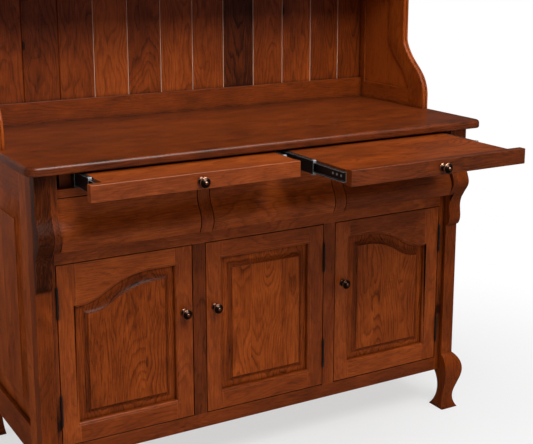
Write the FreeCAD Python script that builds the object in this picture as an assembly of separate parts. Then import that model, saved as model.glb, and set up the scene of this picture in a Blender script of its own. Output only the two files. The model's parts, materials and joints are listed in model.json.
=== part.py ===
import FreeCAD, Part

import math
import os

from FreeCAD import Vector

# Dresser with an open hutch: a three-door buffet with three ogee drawers and two pull-out trays, and a
# planked hutch standing on its worktop.  Millimetres; +X to the right, +Y to the back, +Z up.
# While it is being modelled, X is 0 in the middle, Y is 0 at the front of the doors and Z is 0 on the floor.
# Everything is moved back by SHIFT_Y when it is written, so the origin lies under the middle of the whole
# object as it stands with both trays pulled out.

# ---- driving dimensions: whole object ----
TOP_WIDTH = 1366.0
TOP_THICK = 23.0
TOP_FRONT_OVERHANG = 70.0      # worktop edge ahead of the post fronts
TOP_END_OVERHANG = 26.0        # worktop end beyond the post side
TOP_BACK_OVERHANG = 9.0
TOP_CORNER_R = 28.0
TOP_EDGE_R = 9.0
TOP_UNDER_R = 4.0
BASE_HEIGHT = 914.0
CASE_DEPTH = 521.0             # front of the doors to the back of the rear posts
TOTAL_HEIGHT = 2080.0

# ---- driving dimensions: case front ----
POST_SIZE = 41.0
POST_PROUD = 14.0              # post front ahead of the doors
FRAME_THICK = 20.0
HINGE_STILE_W = 16.0
DOOR_STILE_W = 37.0
OGEE_BLOCK_W = 33.0
LEG_HEIGHT = 123.0             # floor to the underside of the bottom rail
BOTTOM_RAIL_H = 40.0
DRAWER_RAIL_H = 41.0
DRAWER_OPENING_H = 135.0
TRAY_RAIL_H = 20.0
TRAY_OPENING_H = 48.0
REVEAL = 2.5                   # gap round every door and drawer front

# ---- driving dimensions: ogee face, measured ahead of the doors and up from the drawer opening ----
OGEE_TOP = 32.0
OGEE_CURVE = ((44.0, 0.0), (56.0, 34.0), (51.5, 51.0), (37.0, 77.0), (OGEE_TOP, 102.0))
OGEE_START = (0.0, -0.55, 1.0)
CORBEL_TOP = 41.0
CORBEL_CURVE = (
    (POST_PROUD, -100.0), (27.0, -86.0), (29.5, -66.0), (26.5, -40.0), (33.0, -11.0), (50.5, 14.0),
    (62.5, 37.0), (56.5, 61.0), (45.5, 85.0), (CORBEL_TOP, 108.0),
)
CORBEL_START = (0.0, -1.0, 0.15)

# ---- driving dimensions: sawn cabriole leg, each offset out from the post face ----
LEG_START = 176.0
KNEE_Z = 122.0
KNEE_OUT = 24.0
ANKLE_Z = 47.0
ANKLE_SIDE_OUT = 1.0
ANKLE_FRONT_OUT = 11.0
FOOT_SIDE_OUT = 12.0
FOOT_FRONT_OUT = 21.0
HOLLOW_Z = 68.0
HOLLOW_SIDE_IN = 3.0
HOLLOW_BACK_IN = 22.0
FOOT_SIDE_IN = 7.0             # how far the foot spreads towards the middle of the case
FOOT_BACK_OUT = 4.0

# ---- driving dimensions: doors ----
DOOR_THICK = 20.0
DOOR_STILE = 49.0
DOOR_TOP_RAIL = 50.0
DOOR_BOTTOM_RAIL = 54.0
STICKING = 8.0                 # moulded edge round the panel opening: a small step, then a quarter round
STICKING_STEP = 1.2
STICKING_ROUND = ((-6.8, 1.2), (-4.8, 1.6), (-2.8, 2.7), (-1.1, 4.6), (0.0, 7.2))
ARCH_DROP = 65.0
ARCH_FLAT = 60.0
ARCH_SPLIT = 0.62              # share of the arch taken by its upper, convex arc
PANEL_TONGUE = 8.0
PANEL_TONGUE_THICK = 5.0
PANEL_BEVEL = 30.0
PANEL_STEP = 2.0
PANEL_SINK = 1.5               # raised field behind the door face
PANEL_EDGE_SINK = 13.0
PANEL_HOLLOW = ((0.02, 0.0), (0.35, 0.10), (0.65, 0.35), (0.85, 0.65), (1.0, 1.0))  # shares of bevel and rise

# ---- driving dimensions: hinges ----
HINGE_LEN = 78.0
HINGE_END = 96.0               # hinge middle from the door's end
KNUCKLE_R = 2.9
KNUCKLE_COUNT = 5
KNUCKLE_GAP = 0.3
HINGE_AXIS_OUT = 3.4           # hinge axis ahead of the door face
PIN_R = 1.4
PIN_FIT = 0.05
PIN_TIP_R = 2.4
LEAF_THICK = 1.0
LEAF_DEPTH = 17.0

# ---- driving dimensions: knobs ----
KNOB_ROSE_R = 10.5
KNOB_ROSE_H = 4.5
KNOB_NECK_R = 4.6
KNOB_NECK_FLARE = 2.4
KNOB_FOOT_FLARE = 2.9
KNOB_HEAD_R = 14.0
KNOB_HEAD_BACK = 18.0          # height of the head's back above the face it stands on
KNOB_RIM_H = 5.4
KNOB_DOME_H = 5.0
KNOB_BUTTON_R = 3.2
KNOB_BUTTON_H = 2.0
KNOB_FROM_EDGE = 25.0
KNOB_ABOVE_MIDDLE = 59.0

# ---- driving dimensions: drawers ----
DRAWER_BACK_OF_FRONT = 4.0     # back of the drawer front, ahead of the door face line
DRAWER_BOX_DEPTH = 440.0
DRAWER_BOX_HEIGHT = 100.0
DRAWER_WALL = 12.0
DRAWER_BOTTOM_THICK = 6.0
DRAWER_BOTTOM_UP = 10.0
DRAWER_SIDE_GAP = 9.0          # box side inside the drawer opening
DRAWER_RIDE = 0.6              # clearance over the runners
RUNNER_W = 34.0
RUNNER_H = 18.0
GUIDE_GAP = 2.0
GUIDE_H = 24.0
KICKER_W = 45.0
KICKER_H = 16.0

# ---- driving dimensions: pull-out trays ----
TRAY_INNER_X = 22.0            # inner end of each tray, from the middle
TRAY_FRONT_END_X = 579.0       # outer end of each tray front
TRAY_BOARD_END_X = 540.0
TRAY_FRONT_H = 41.0
TRAY_FRONT_THICK = 22.0
TRAY_CLOSED_FACE = 56.0        # closed tray front ahead of the door face line
TRAY_TOP_GAP = 3.5             # top of the tray's front strip below the worktop
TRAY_LIP = 1.5                 # tray surface below the top of its front strip
TRAY_BOARD_THICK = 20.0
TRAY_BOARD_DEPTH = 474.0
TRAY_SIDE_RAIL_W = 18.0
TRAY_RAIL_CLEAR = 2.0          # rails under the board end this far above the front strip's lower edge
CLEAT_W = 30.0                 # cleat beside each tray, ahead of the face frame
CLEAT_FRONT_Y = -10.0
LEFT_TRAY_OUT = 154.0          # how far each tray stands open
RIGHT_TRAY_OUT = 315.0
MIDDLE_SHARE = 0.58            # how far the middle slide members run for each step of their tray
SLIDE_LENGTH = 450.0
SLIDE_THICK = 12.7
SLIDE_SHEET = 1.3
CABINET_MEMBER_H = 45.0
MIDDLE_MEMBER_H = 35.0
TRAY_MEMBER_H = 26.0
SLIDE_LIP = 9.5
CAGE_LENGTH = 120.0
CAGE_FIT = 0.35

# ---- driving dimensions: case inside and ends ----
END_STILE_W = 49.0
END_THICK = 22.0
END_TOP_RAIL_H = 90.0
END_BOTTOM_RAIL_H = 80.0
END_BEVEL = 60.0
FLOOR_THICK = 18.0
PARTITION_THICK = 18.0
BACK_THICK = 6.0
REAR_RAIL_THICK = 18.0
SHELF_THICK = 18.0
SHELF_GAP = 1.5
SHELF_UP = 225.0
SHELF_SETBACK = 60.0
SHELF_PIN_R = 2.5
SHELF_PIN_LEN = 9.0
SHELF_PIN_INSET = 50.0
CATCH_SIZE = (30.0, 16.0, 12.0)

# ---- driving dimensions: hutch ----
HUTCH_SIDE_THICK = 20.0
HUTCH_END_INSET = 4.0          # hutch side inside the worktop end
HUTCH_FOOT_Y = 169.0           # front of the hutch side at its foot
HUTCH_UPPER_Y = 278.0          # front of the hutch side above its scroll
SCROLL_START = 40.0            # heights above the worktop
SCROLL_END = 212.0
SCROLL_SHAPE = ((0.16, 0.32), (0.62, 0.61), (0.9, 0.82))  # shares of the way back and of the height
SCROLL_STILE_W = 80.0
SCROLL_BEAD_R = 4.5
SCROLL_GROOVE = 3.0
HUTCH_REAR_STILE_W = 40.0
HUTCH_SIDE_RAIL_H = 53.0
HUTCH_TOP_RAIL_H = 70.0
HUTCH_PANEL_THICK = 8.0
HUTCH_PANEL_SINK = 5.0
HUTCH_PANEL_TONGUE = 6.0
PLANK_PITCH = 106.6
PLANK_THICK = 12.0
PLANK_GAP = 0.4
PLANK_V = 2.5
PLANK_OFFSET = 33.0            # first joint is short of a whole plank by this much
PLANK_FACE_Y = 514.0
BACK_RAIL_H = 62.0
BACK_RAIL_PROUD = 11.0
BACK_RAIL_REBATE = 12.0
HUTCH_SHELF_THICK = 20.0
HUTCH_SHELF_HEIGHTS = (400.0, 725.0)
HUTCH_SHELF_SETBACK = 14.0
PLATE_GROOVE_W = 8.0
PLATE_GROOVE_DEPTH = 3.0
PLATE_GROOVE_FROM_BACK = 45.0
HUTCH_TOP_THICK = 20.0
VALANCE_H = 95.0
VALANCE_ARCH = 45.0
VALANCE_THICK = 20.0
VALANCE_SHOULDER = 90.0
CROWN_H = 60.0
CROWN_OUT = 48.0
CROWN_TOP_FLAT = 12.0
CROWN_LIP = 4.0
CROWN_COVE_OUT = 0.25
CROWN_COVE_UP = 0.62
CROWN_FOOT = 10.0

# ---- derived: case ----
CASE_HALF = TOP_WIDTH / 2 - TOP_END_OVERHANG
CASE_TOP = BASE_HEIGHT - TOP_THICK
POST_INNER = CASE_HALF - POST_SIZE
OPENING_HALF = POST_INNER - HINGE_STILE_W
POST_BACK = POST_SIZE - POST_PROUD
REAR_POST_FRONT = CASE_DEPTH - POST_SIZE
DOOR_ZONE_BOTTOM = LEG_HEIGHT + BOTTOM_RAIL_H
TRAY_ZONE_BOTTOM = CASE_TOP - TRAY_OPENING_H
DRAWER_ZONE_TOP = TRAY_ZONE_BOTTOM - TRAY_RAIL_H
DRAWER_ZONE_BOTTOM = DRAWER_ZONE_TOP - DRAWER_OPENING_H
DOOR_ZONE_TOP = DRAWER_ZONE_BOTTOM - DRAWER_RAIL_H
DOOR_W = (2 * OPENING_HALF - 2 * DOOR_STILE_W - 6 * REVEAL) / 3
DOOR_BOTTOM = DOOR_ZONE_BOTTOM + REVEAL
DOOR_TOP = DOOR_ZONE_TOP - REVEAL
STILE_X = DOOR_W / 2 + REVEAL + DOOR_STILE_W / 2
BACK_FRONT_Y = CASE_DEPTH - BACK_THICK - REAR_RAIL_THICK
CASE_INNER = CASE_HALF - END_THICK

# ---- derived: trays ----
TRAY_TOP = CASE_TOP - TRAY_TOP_GAP
SLIDE_Z = TRAY_ZONE_BOTTOM + TRAY_OPENING_H / 2
SLIDE_FRONT_Y = TRAY_FRONT_THICK - TRAY_CLOSED_FACE + 2.0
TRAY_BODIES = (("left", -1, LEFT_TRAY_OUT), ("right", 1, RIGHT_TRAY_OUT))

# ---- derived: hutch ----
HUTCH_HALF = TOP_WIDTH / 2 - HUTCH_END_INSET
HUTCH_INNER = HUTCH_HALF - HUTCH_SIDE_THICK
HUTCH_BACK_Y = PLANK_FACE_Y + PLANK_THICK
HUTCH_TOP_Z = TOTAL_HEIGHT - CROWN_H
AHEAD = HUTCH_UPPER_Y - HUTCH_FOOT_Y + SCROLL_STILE_W
TOP_FRONT_Y = -POST_PROUD - TOP_FRONT_OVERHANG
TOP_BACK_Y = CASE_DEPTH + TOP_BACK_OVERHANG
KNOB_PROJECTION = KNOB_HEAD_BACK + KNOB_RIM_H + KNOB_DOME_H + KNOB_BUTTON_H
SHIFT_Y = (TRAY_CLOSED_FACE + RIGHT_TRAY_OUT + KNOB_PROJECTION - TOP_BACK_Y) / 2

# ---- doors and drawers: name, middle X, hinge side (-1 left, 1 right), arch low side (0 for square) ----
BAY_STEP = DOOR_W + 2 * REVEAL + DOOR_STILE_W
DOORS = (("left", -BAY_STEP, -1, -1), ("middle", 0.0, 1, 0), ("right", BAY_STEP, 1, 1))
BLOCK_EDGE = STILE_X - OGEE_BLOCK_W / 2
DRAWERS = (
    ("left", -OPENING_HALF, -STILE_X - OGEE_BLOCK_W / 2),
    ("middle", -BLOCK_EDGE, BLOCK_EDGE),
    ("right", STILE_X + OGEE_BLOCK_W / 2, OPENING_HALF),
)


# ---- helpers ----
def block(x0, x1, y0, y1, z0, z1):
    """A rectangular piece between two opposite corners, in either order."""
    low = Vector(min(x0, x1), min(y0, y1), min(z0, z1))
    return Part.makeBox(abs(x1 - x0), abs(y1 - y0), abs(z1 - z0), low)


def line(a, b):
    return Part.makeLine(Vector(*a), Vector(*b))


def curve(points, start=None, end=None):
    """A smooth edge through the points, with the start and end directions if they are given."""
    spline = Part.BSplineCurve()
    poles = [Vector(*p) for p in points]
    if start is None:
        spline.interpolate(poles)
    else:
        spline.interpolate(Points=poles, InitialTangent=Vector(*start).normalize(),
                           FinalTangent=Vector(*end).normalize(), Scale=False)
    return spline.toShape()


def prism(edges, direction):
    """The solid swept by the face inside the edges along the direction."""
    return Part.Face(Part.Wire(Part.__sortEdges__(edges))).extrude(Vector(*direction))


def mirrored(shape):
    return shape.mirror(Vector(0, 0, 0), Vector(1, 0, 0))


def sided(shape, side):
    """The right-hand piece as it is, or its mirror image for the left."""
    return shape if side > 0 else mirrored(shape)


def rounded(shape, radius, chosen):
    edges = [e for e in shape.Edges if chosen(e)]
    return shape.makeFillet(radius, edges)


def runs_along(edge, axis):
    if not isinstance(edge.Curve, Part.Line):
        return False
    return abs(getattr(edge.Curve.Direction, axis)) > 0.999


def between(value, low, high):
    return low - 0.01 <= value <= high + 0.01


# ---- worktop ----
def worktop():
    slab = block(-TOP_WIDTH / 2, TOP_WIDTH / 2, TOP_FRONT_Y, TOP_BACK_Y, CASE_TOP, BASE_HEIGHT)
    slab = rounded(slab, TOP_CORNER_R, lambda e: runs_along(e, "z") and e.CenterOfMass.y < 0)
    front = lambda e: e.CenterOfMass.y < TOP_BACK_Y - 1
    slab = rounded(slab, TOP_EDGE_R,
                   lambda e: front(e) and between(e.CenterOfMass.z, BASE_HEIGHT, BASE_HEIGHT))
    return rounded(slab, TOP_UNDER_R, lambda e: front(e) and between(e.CenterOfMass.z, CASE_TOP, CASE_TOP))


# ---- posts with sawn cabriole legs ----
def leg_edge(points, across):
    """One sawn edge of a leg, from the post down to the floor, in the plane that across picks."""
    place = (lambda o, z: (o, 0, z)) if across == "x" else (lambda o, z: (0, o, z))
    return curve([place(o, z) for o, z in points]), place


def leg_outline(outer, inner, across):
    """The closed outline of a leg and its post seen from the front or from the side."""
    outer_edge, place = leg_edge(outer, across)
    inner_edge, place = leg_edge(inner, across)
    top = CASE_TOP
    corners = [
        line(place(*outer[0]), place(outer[0][0], top)),
        line(place(outer[0][0], top), place(inner[0][0], top)),
        line(place(inner[0][0], top), place(*inner[0])),
        line(place(*inner[-1]), place(*outer[-1])),
    ]
    return corners + [outer_edge, inner_edge]


def leg_from_front():
    """Everything behind the right-hand leg's outline as it is seen from the front."""
    x_out = CASE_HALF
    x_in = POST_INNER
    outline = leg_outline(
        (
            (x_out, LEG_START), (x_out + KNEE_OUT * 0.75, (LEG_START + KNEE_Z) / 2 + 4),
            (x_out + KNEE_OUT, KNEE_Z), (x_out + ANKLE_SIDE_OUT, ANKLE_Z), (x_out + FOOT_SIDE_OUT, 0),
        ),
        ((x_in, LEG_HEIGHT), (x_in + HOLLOW_SIDE_IN, HOLLOW_Z), (x_in - FOOT_SIDE_IN, 0)),
        "x",
    )
    solid = prism(outline, (0, 2 * CASE_DEPTH, 0))
    solid.translate(Vector(0, -CASE_DEPTH / 2, 0))
    return solid


def front_post():
    """The right-hand post: its leg is sawn to one curve seen from the front and another from the side."""
    side_view = leg_outline(
        (
            (-POST_PROUD, LEG_START), (-POST_PROUD - KNEE_OUT * 0.75, (LEG_START + KNEE_Z) / 2 + 4),
            (-POST_PROUD - KNEE_OUT, KNEE_Z), (-POST_PROUD - ANKLE_FRONT_OUT, ANKLE_Z),
            (-POST_PROUD - FOOT_FRONT_OUT, 0),
        ),
        (
            (POST_BACK, LEG_HEIGHT), (POST_BACK - HOLLOW_BACK_IN * 0.8, HOLLOW_Z + 22),
            (POST_BACK - HOLLOW_BACK_IN, HOLLOW_Z - 6), (POST_BACK + FOOT_BACK_OUT, 0),
        ),
        "y",
    )
    from_side = prism(side_view, (2 * CASE_HALF, 0, 0))
    return leg_from_front().common(from_side)


def rear_post():
    """The right-hand rear post: its leg has the front leg's curve at the side and is flat front and back."""
    slab = block(0, 2 * CASE_HALF, REAR_POST_FRONT, CASE_DEPTH, 0, CASE_TOP)
    return leg_from_front().common(slab)


# ---- ogee faces ----
def face_points(x, profile):
    return [(x, -out, DRAWER_ZONE_BOTTOM + up) for out, up in profile]


def ogee_solid(x0, x1, back, z0, z1, profile, start):
    """A piece between two heights, flat behind, whose front follows the profile and then rises straight."""
    face = face_points(x0, profile)
    foot = face[0]
    crest = face[-1]
    high = max(z1, crest[2]) + 1
    low = min(z0, foot[2]) - 1
    edges = [
        curve(face, start, (0, 0, 1)),
        line(crest, (x0, crest[1], high)),
        line((x0, crest[1], high), (x0, -back, high)),
        line((x0, -back, high), (x0, -back, low)),
        line((x0, -back, low), (x0, foot[1], low)),
        line((x0, foot[1], low), foot),
    ]
    whole = prism(edges, (x1 - x0, 0, 0))
    return whole.common(block(x0, x1, -TOP_WIDTH, TOP_WIDTH, z0, z1))


def corbel():
    """The right-hand corbel: its ogee runs on below the drawers and ends in a rounded foot."""
    face = face_points(POST_INNER, CORBEL_CURVE)
    foot = face[0]
    crest = face[-1]
    top = (POST_INNER, crest[1], CASE_TOP)
    top_back = (POST_INNER, foot[1], CASE_TOP)
    edges = [
        curve(face, CORBEL_START, (0, 0, 1)),
        line(crest, top),
        line(top, top_back),
        line(top_back, foot),
    ]
    return prism(edges, (POST_SIZE, 0, 0))


def ogee_blocks():
    """Blocks at both ends of the drawer row, level with the corbels, and blocks between the drawers."""
    pieces = []
    for side in (-1, 1):
        outer = ogee_solid(OPENING_HALF, POST_INNER, -FRAME_THICK, DRAWER_ZONE_BOTTOM, CASE_TOP,
                           CORBEL_CURVE, CORBEL_START)
        pieces.append(sided(outer, side))
        inner = ogee_solid(
            STILE_X - OGEE_BLOCK_W / 2, STILE_X + OGEE_BLOCK_W / 2, -FRAME_THICK,
            DRAWER_ZONE_BOTTOM, DRAWER_ZONE_TOP, OGEE_CURVE, OGEE_START,
        )
        pieces.append(sided(inner, side))
    return pieces


# ---- face frame ----
def face_frame():
    rails = {
        "tray_rail": [block(-OPENING_HALF, OPENING_HALF, -OGEE_TOP, FRAME_THICK,
                            DRAWER_ZONE_TOP, TRAY_ZONE_BOTTOM)],
        "drawer_rail": [block(-OPENING_HALF, OPENING_HALF, 0, FRAME_THICK,
                              DOOR_ZONE_TOP, DRAWER_ZONE_BOTTOM)],
        "bottom_rail": [block(-OPENING_HALF, OPENING_HALF, 0, FRAME_THICK,
                              LEG_HEIGHT, DOOR_ZONE_BOTTOM)],
    }
    stiles = []
    for side in (-1, 1):
        stiles.append(block(side * OPENING_HALF, side * POST_INNER, 0, FRAME_THICK,
                            LEG_HEIGHT, DRAWER_ZONE_BOTTOM))
        stiles.append(block(side * (STILE_X - DOOR_STILE_W / 2), side * (STILE_X + DOOR_STILE_W / 2),
                            0, FRAME_THICK, DOOR_ZONE_BOTTOM, DOOR_ZONE_TOP))
    rails["front_stiles"] = stiles
    return rails


# ---- raised panels and doors ----
def opening_edges(x_low, x_high, z_low, z_high, y, drop, flat, low_side):
    """Outline of a panel opening.  Its top is level, or a half arch: level for a while, then an upper
    convex arc and a lower concave arc, tangent to each other, falling towards the low side."""
    if low_side == 0:
        points = [(x_low, y, z_low), (x_high, y, z_low), (x_high, y, z_high), (x_low, y, z_high)]
        return [line(a, b) for a, b in zip(points, points[1:] + points[:1])]
    x_start = x_low if low_side > 0 else x_high
    x_end = x_high if low_side > 0 else x_low
    run = abs(x_end - x_start) - flat
    turn = 2 * math.atan2(drop, run)
    radius_sum = run / math.sin(turn)
    upper_r = ARCH_SPLIT * radius_sum
    lower_r = radius_sum - upper_r

    def upper(angle):
        away = flat + upper_r * math.sin(angle)
        return (x_start + low_side * away, y, z_high - upper_r * (1 - math.cos(angle)))

    def lower(angle):
        away = flat + run - lower_r * math.sin(angle)
        return (x_start + low_side * away, y, z_high - drop + lower_r * (1 - math.cos(angle)))

    arcs = [
        Part.Arc(Vector(*upper(0)), Vector(*upper(turn / 2)), Vector(*upper(turn))).toShape(),
        Part.Arc(Vector(*lower(turn)), Vector(*lower(turn / 2)), Vector(*lower(0))).toShape(),
    ]
    return arcs + [
        line((x_start, y, z_high), upper(0)),
        line(lower(0), (x_end, y, z_low)),
        line((x_end, y, z_low), (x_start, y, z_low)),
        line((x_start, y, z_low), (x_start, y, z_high)),
    ]


def opening_wire(x_low, x_high, z_low, z_high, y, low_side, inset=0.0, flat=ARCH_FLAT):
    """The opening's outline shrunk by an inset, as one wire."""
    edges = opening_edges(
        x_low + inset, x_high - inset, z_low + inset, z_high - inset, y,
        ARCH_DROP - 0.25 * inset if low_side else 0.0, max(flat - inset, 5.0), low_side,
    )
    return Part.Wire(Part.__sortEdges__(edges))


def opening_prism(limits, y0, y1, low_side, inset=0.0):
    wire = opening_wire(*limits, y0, low_side, inset)
    return Part.Face(wire).extrude(Vector(0, y1 - y0, 0))


def raised_panel(limits, low_side, face_y, bevel):
    """A panel with a tongue all round, a hollow bevel and a raised field with a small square step."""
    edge_y = face_y + PANEL_EDGE_SINK
    tongue = opening_prism(limits, edge_y, edge_y + PANEL_TONGUE_THICK, low_side, -PANEL_TONGUE)
    bevel_rise = PANEL_EDGE_SINK - PANEL_SINK - PANEL_STEP
    rings = [
        opening_wire(*limits, edge_y - up * bevel_rise, low_side, inward * bevel)
        for inward, up in PANEL_HOLLOW
    ]
    slope = Part.makeLoft(rings, True, True)
    field = opening_prism(limits, face_y + PANEL_SINK, edge_y + 1, low_side, bevel)
    return tongue.fuse([slope, field]).removeSplitter()


def door_frame(middle, low_side):
    """Two stiles and two rails round the panel opening, with a moulded inner edge and a panel groove."""
    x0 = middle - DOOR_W / 2
    x1 = middle + DOOR_W / 2
    limits = door_limits(middle)
    frame = block(x0, x1, 0, DOOR_THICK, DOOR_BOTTOM, DOOR_TOP)
    frame = frame.cut(opening_prism(limits, -1, DOOR_THICK + 1, low_side))
    step = opening_prism(limits, -1, STICKING_STEP, low_side, -STICKING)
    rings = [opening_wire(*limits, y, low_side, inset) for inset, y in STICKING_ROUND]
    sticking = Part.makeLoft(rings, True, True)
    groove = opening_prism(limits, PANEL_EDGE_SINK, PANEL_EDGE_SINK + PANEL_TONGUE_THICK,
                           low_side, -PANEL_TONGUE)
    frame = frame.cut([step, sticking, groove])
    stile_left = block(x0, limits[0], -1, DOOR_THICK + 1, DOOR_BOTTOM, DOOR_TOP)
    stile_right = block(limits[1], x1, -1, DOOR_THICK + 1, DOOR_BOTTOM, DOOR_TOP)
    middle_z = (DOOR_BOTTOM + DOOR_TOP) / 2
    rail_low = block(limits[0], limits[1], -1, DOOR_THICK + 1, DOOR_BOTTOM, middle_z)
    rail_high = block(limits[0], limits[1], -1, DOOR_THICK + 1, middle_z, DOOR_TOP)
    return [frame.common(piece) for piece in (stile_left, stile_right, rail_low, rail_high)]


def door_limits(middle):
    return (
        middle - DOOR_W / 2 + DOOR_STILE, middle + DOOR_W / 2 - DOOR_STILE,
        DOOR_BOTTOM + DOOR_BOTTOM_RAIL, DOOR_TOP - DOOR_TOP_RAIL,
    )


def door_panel(middle, low_side):
    return [raised_panel(door_limits(middle), low_side, 0.0, PANEL_BEVEL)]


# ---- hinges ----
def hinge_x(middle, side):
    return middle + side * (DOOR_W / 2 + REVEAL / 2)


def hinge_heights():
    return (DOOR_TOP - HINGE_END, DOOR_BOTTOM + HINGE_END)


def hinge_leaf(x, side, z, on_door):
    """One leaf with its share of the knuckles, bored for the pin; the door has the second and fourth."""
    pitch = HINGE_LEN / KNUCKLE_COUNT
    near = REVEAL / 2 - LEAF_THICK
    away = -side if on_door else side
    plate_x = (x + away * near, x + away * (near + LEAF_THICK))
    z0 = z - HINGE_LEN / 2
    plate_y = KNUCKLE_R - HINGE_AXIS_OUT + 0.8
    leaf = block(*plate_x, plate_y, LEAF_DEPTH, z0, z0 + HINGE_LEN)
    parts = []
    for index in range(KNUCKLE_COUNT):
        if (index % 2 == 1) != on_door:
            continue
        low = z0 + index * pitch + KNUCKLE_GAP / 2
        height = pitch - KNUCKLE_GAP
        parts.append(Part.makeCylinder(KNUCKLE_R, height, Vector(x, -HINGE_AXIS_OUT, low)))
        parts.append(block(*plate_x, -HINGE_AXIS_OUT, plate_y + 1, low, low + height))
    leaf = leaf.fuse(parts)
    bore = Part.makeCylinder(PIN_R + PIN_FIT, HINGE_LEN + 2, Vector(x, -HINGE_AXIS_OUT, z0 - 1))
    return leaf.cut(bore).removeSplitter()


def hinge_pin(x, z):
    low = z - HINGE_LEN / 2
    pin = Part.makeCylinder(PIN_R, HINGE_LEN, Vector(x, -HINGE_AXIS_OUT, low))
    drop = math.sqrt(PIN_TIP_R ** 2 - PIN_R ** 2)
    tips = [
        Part.makeSphere(PIN_TIP_R, Vector(x, -HINGE_AXIS_OUT, low - drop)).cut(
            block(x - 9, x + 9, -20, 9, low, low + 9)),
        Part.makeSphere(PIN_TIP_R, Vector(x, -HINGE_AXIS_OUT, low + HINGE_LEN + drop)).cut(
            block(x - 9, x + 9, -20, 9, low + HINGE_LEN - 9, low + HINGE_LEN)),
    ]
    return pin.fuse(tips).removeSplitter()


# ---- knobs ----
def dome_arc(r0, h0, r1, h1):
    """The arc of a ball centred on the knob's axis, between two radii and their heights."""
    centre = (r1 ** 2 + h1 ** 2 - r0 ** 2 - h0 ** 2) / (2 * (h1 - h0))
    ball = math.hypot(r0, h0 - centre)
    r = (r0 + r1) / 2
    middle = Vector(r, 0, centre + math.sqrt(ball ** 2 - r ** 2))
    return Part.Arc(Vector(r0, 0, h0), middle, Vector(r1, 0, h1)).toShape()


def knob(x, y, z):
    """A turned knob whose axis runs forward from the face at y: rose, hollow neck, rimmed head and a
    small button in the middle of its dome."""
    rim_top = KNOB_HEAD_BACK + KNOB_RIM_H
    dome_top = rim_top + KNOB_DOME_H
    rim_in = KNOB_HEAD_R - 1.4
    neck_top = KNOB_NECK_R + KNOB_NECK_FLARE
    neck_foot = KNOB_NECK_R + KNOB_FOOT_FLARE
    neck_middle = (KNOB_ROSE_H + KNOB_HEAD_BACK) / 2
    rose_edge = KNOB_ROSE_H / 2
    profile = [
        line((0, 0, 0), (KNOB_ROSE_R, 0, 0)),
        line((KNOB_ROSE_R, 0, 0), (KNOB_ROSE_R, 0, rose_edge)),
        line((KNOB_ROSE_R, 0, rose_edge), (neck_foot, 0, KNOB_ROSE_H)),
        Part.Arc(Vector(neck_foot, 0, KNOB_ROSE_H), Vector(KNOB_NECK_R, 0, neck_middle),
                 Vector(neck_top, 0, KNOB_HEAD_BACK - 1)).toShape(),
        line((neck_top, 0, KNOB_HEAD_BACK - 1), (rim_in, 0, KNOB_HEAD_BACK)),
        Part.Arc(Vector(rim_in, 0, KNOB_HEAD_BACK), Vector(KNOB_HEAD_R, 0, KNOB_HEAD_BACK + KNOB_RIM_H / 2),
                 Vector(rim_in, 0, rim_top)).toShape(),
        dome_arc(rim_in, rim_top, KNOB_BUTTON_R, dome_top),
        line((KNOB_BUTTON_R, 0, dome_top), (KNOB_BUTTON_R, 0, dome_top + KNOB_BUTTON_H / 3)),
        dome_arc(KNOB_BUTTON_R, dome_top + KNOB_BUTTON_H / 3, 0, dome_top + KNOB_BUTTON_H),
        line((0, 0, dome_top + KNOB_BUTTON_H), (0, 0, 0)),
    ]
    solid = Part.Face(Part.Wire(profile)).revolve(Vector(0, 0, 0), Vector(0, 0, 1), 360)
    solid.rotate(Vector(0, 0, 0), Vector(1, 0, 0), 90)
    solid.translate(Vector(x, y, z))
    return solid


# ---- drawers ----
def drawer_front(x0, x1):
    front = ogee_solid(x0 + REVEAL, x1 - REVEAL, DRAWER_BACK_OF_FRONT,
                       DRAWER_ZONE_BOTTOM + REVEAL, DRAWER_ZONE_TOP - REVEAL, OGEE_CURVE, OGEE_START)
    return [front]


def drawer_box(x0, x1):
    """Two sides, a back and a bottom let into grooves, open at the top behind the thick front."""
    left = x0 + DRAWER_SIDE_GAP
    right = x1 - DRAWER_SIDE_GAP
    front = -DRAWER_BACK_OF_FRONT
    back = front + DRAWER_BOX_DEPTH
    low = DRAWER_ZONE_BOTTOM + DRAWER_RIDE
    high = low + DRAWER_BOX_HEIGHT
    floor_z = low + DRAWER_BOTTOM_UP
    groove = DRAWER_WALL / 2
    bottom = block(left + groove, right - groove, front, back - groove,
                   floor_z, floor_z + DRAWER_BOTTOM_THICK)
    sides = [
        block(left, left + DRAWER_WALL, front, back, low, high).cut(bottom),
        block(right - DRAWER_WALL, right, front, back, low, high).cut(bottom),
        block(left + DRAWER_WALL, right - DRAWER_WALL, back - DRAWER_WALL, back, low, high).cut(bottom),
    ]
    return sides + [bottom]


def between_posts(x0, x1, z0, z1):
    """A board that runs from the face frame to the rear rails, notched round the corner posts."""
    board = block(x0, x1, FRAME_THICK, BACK_FRONT_Y, z0, z1)
    return board.cut(post_blocks())


def post_blocks():
    corners = []
    for side in (-1, 1):
        corners.append(block(side * POST_INNER, side * CASE_HALF, -POST_PROUD, POST_BACK, 0, CASE_TOP))
        corners.append(block(side * POST_INNER, side * CASE_HALF, REAR_POST_FRONT, CASE_DEPTH, 0, CASE_TOP))
    return corners


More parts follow.
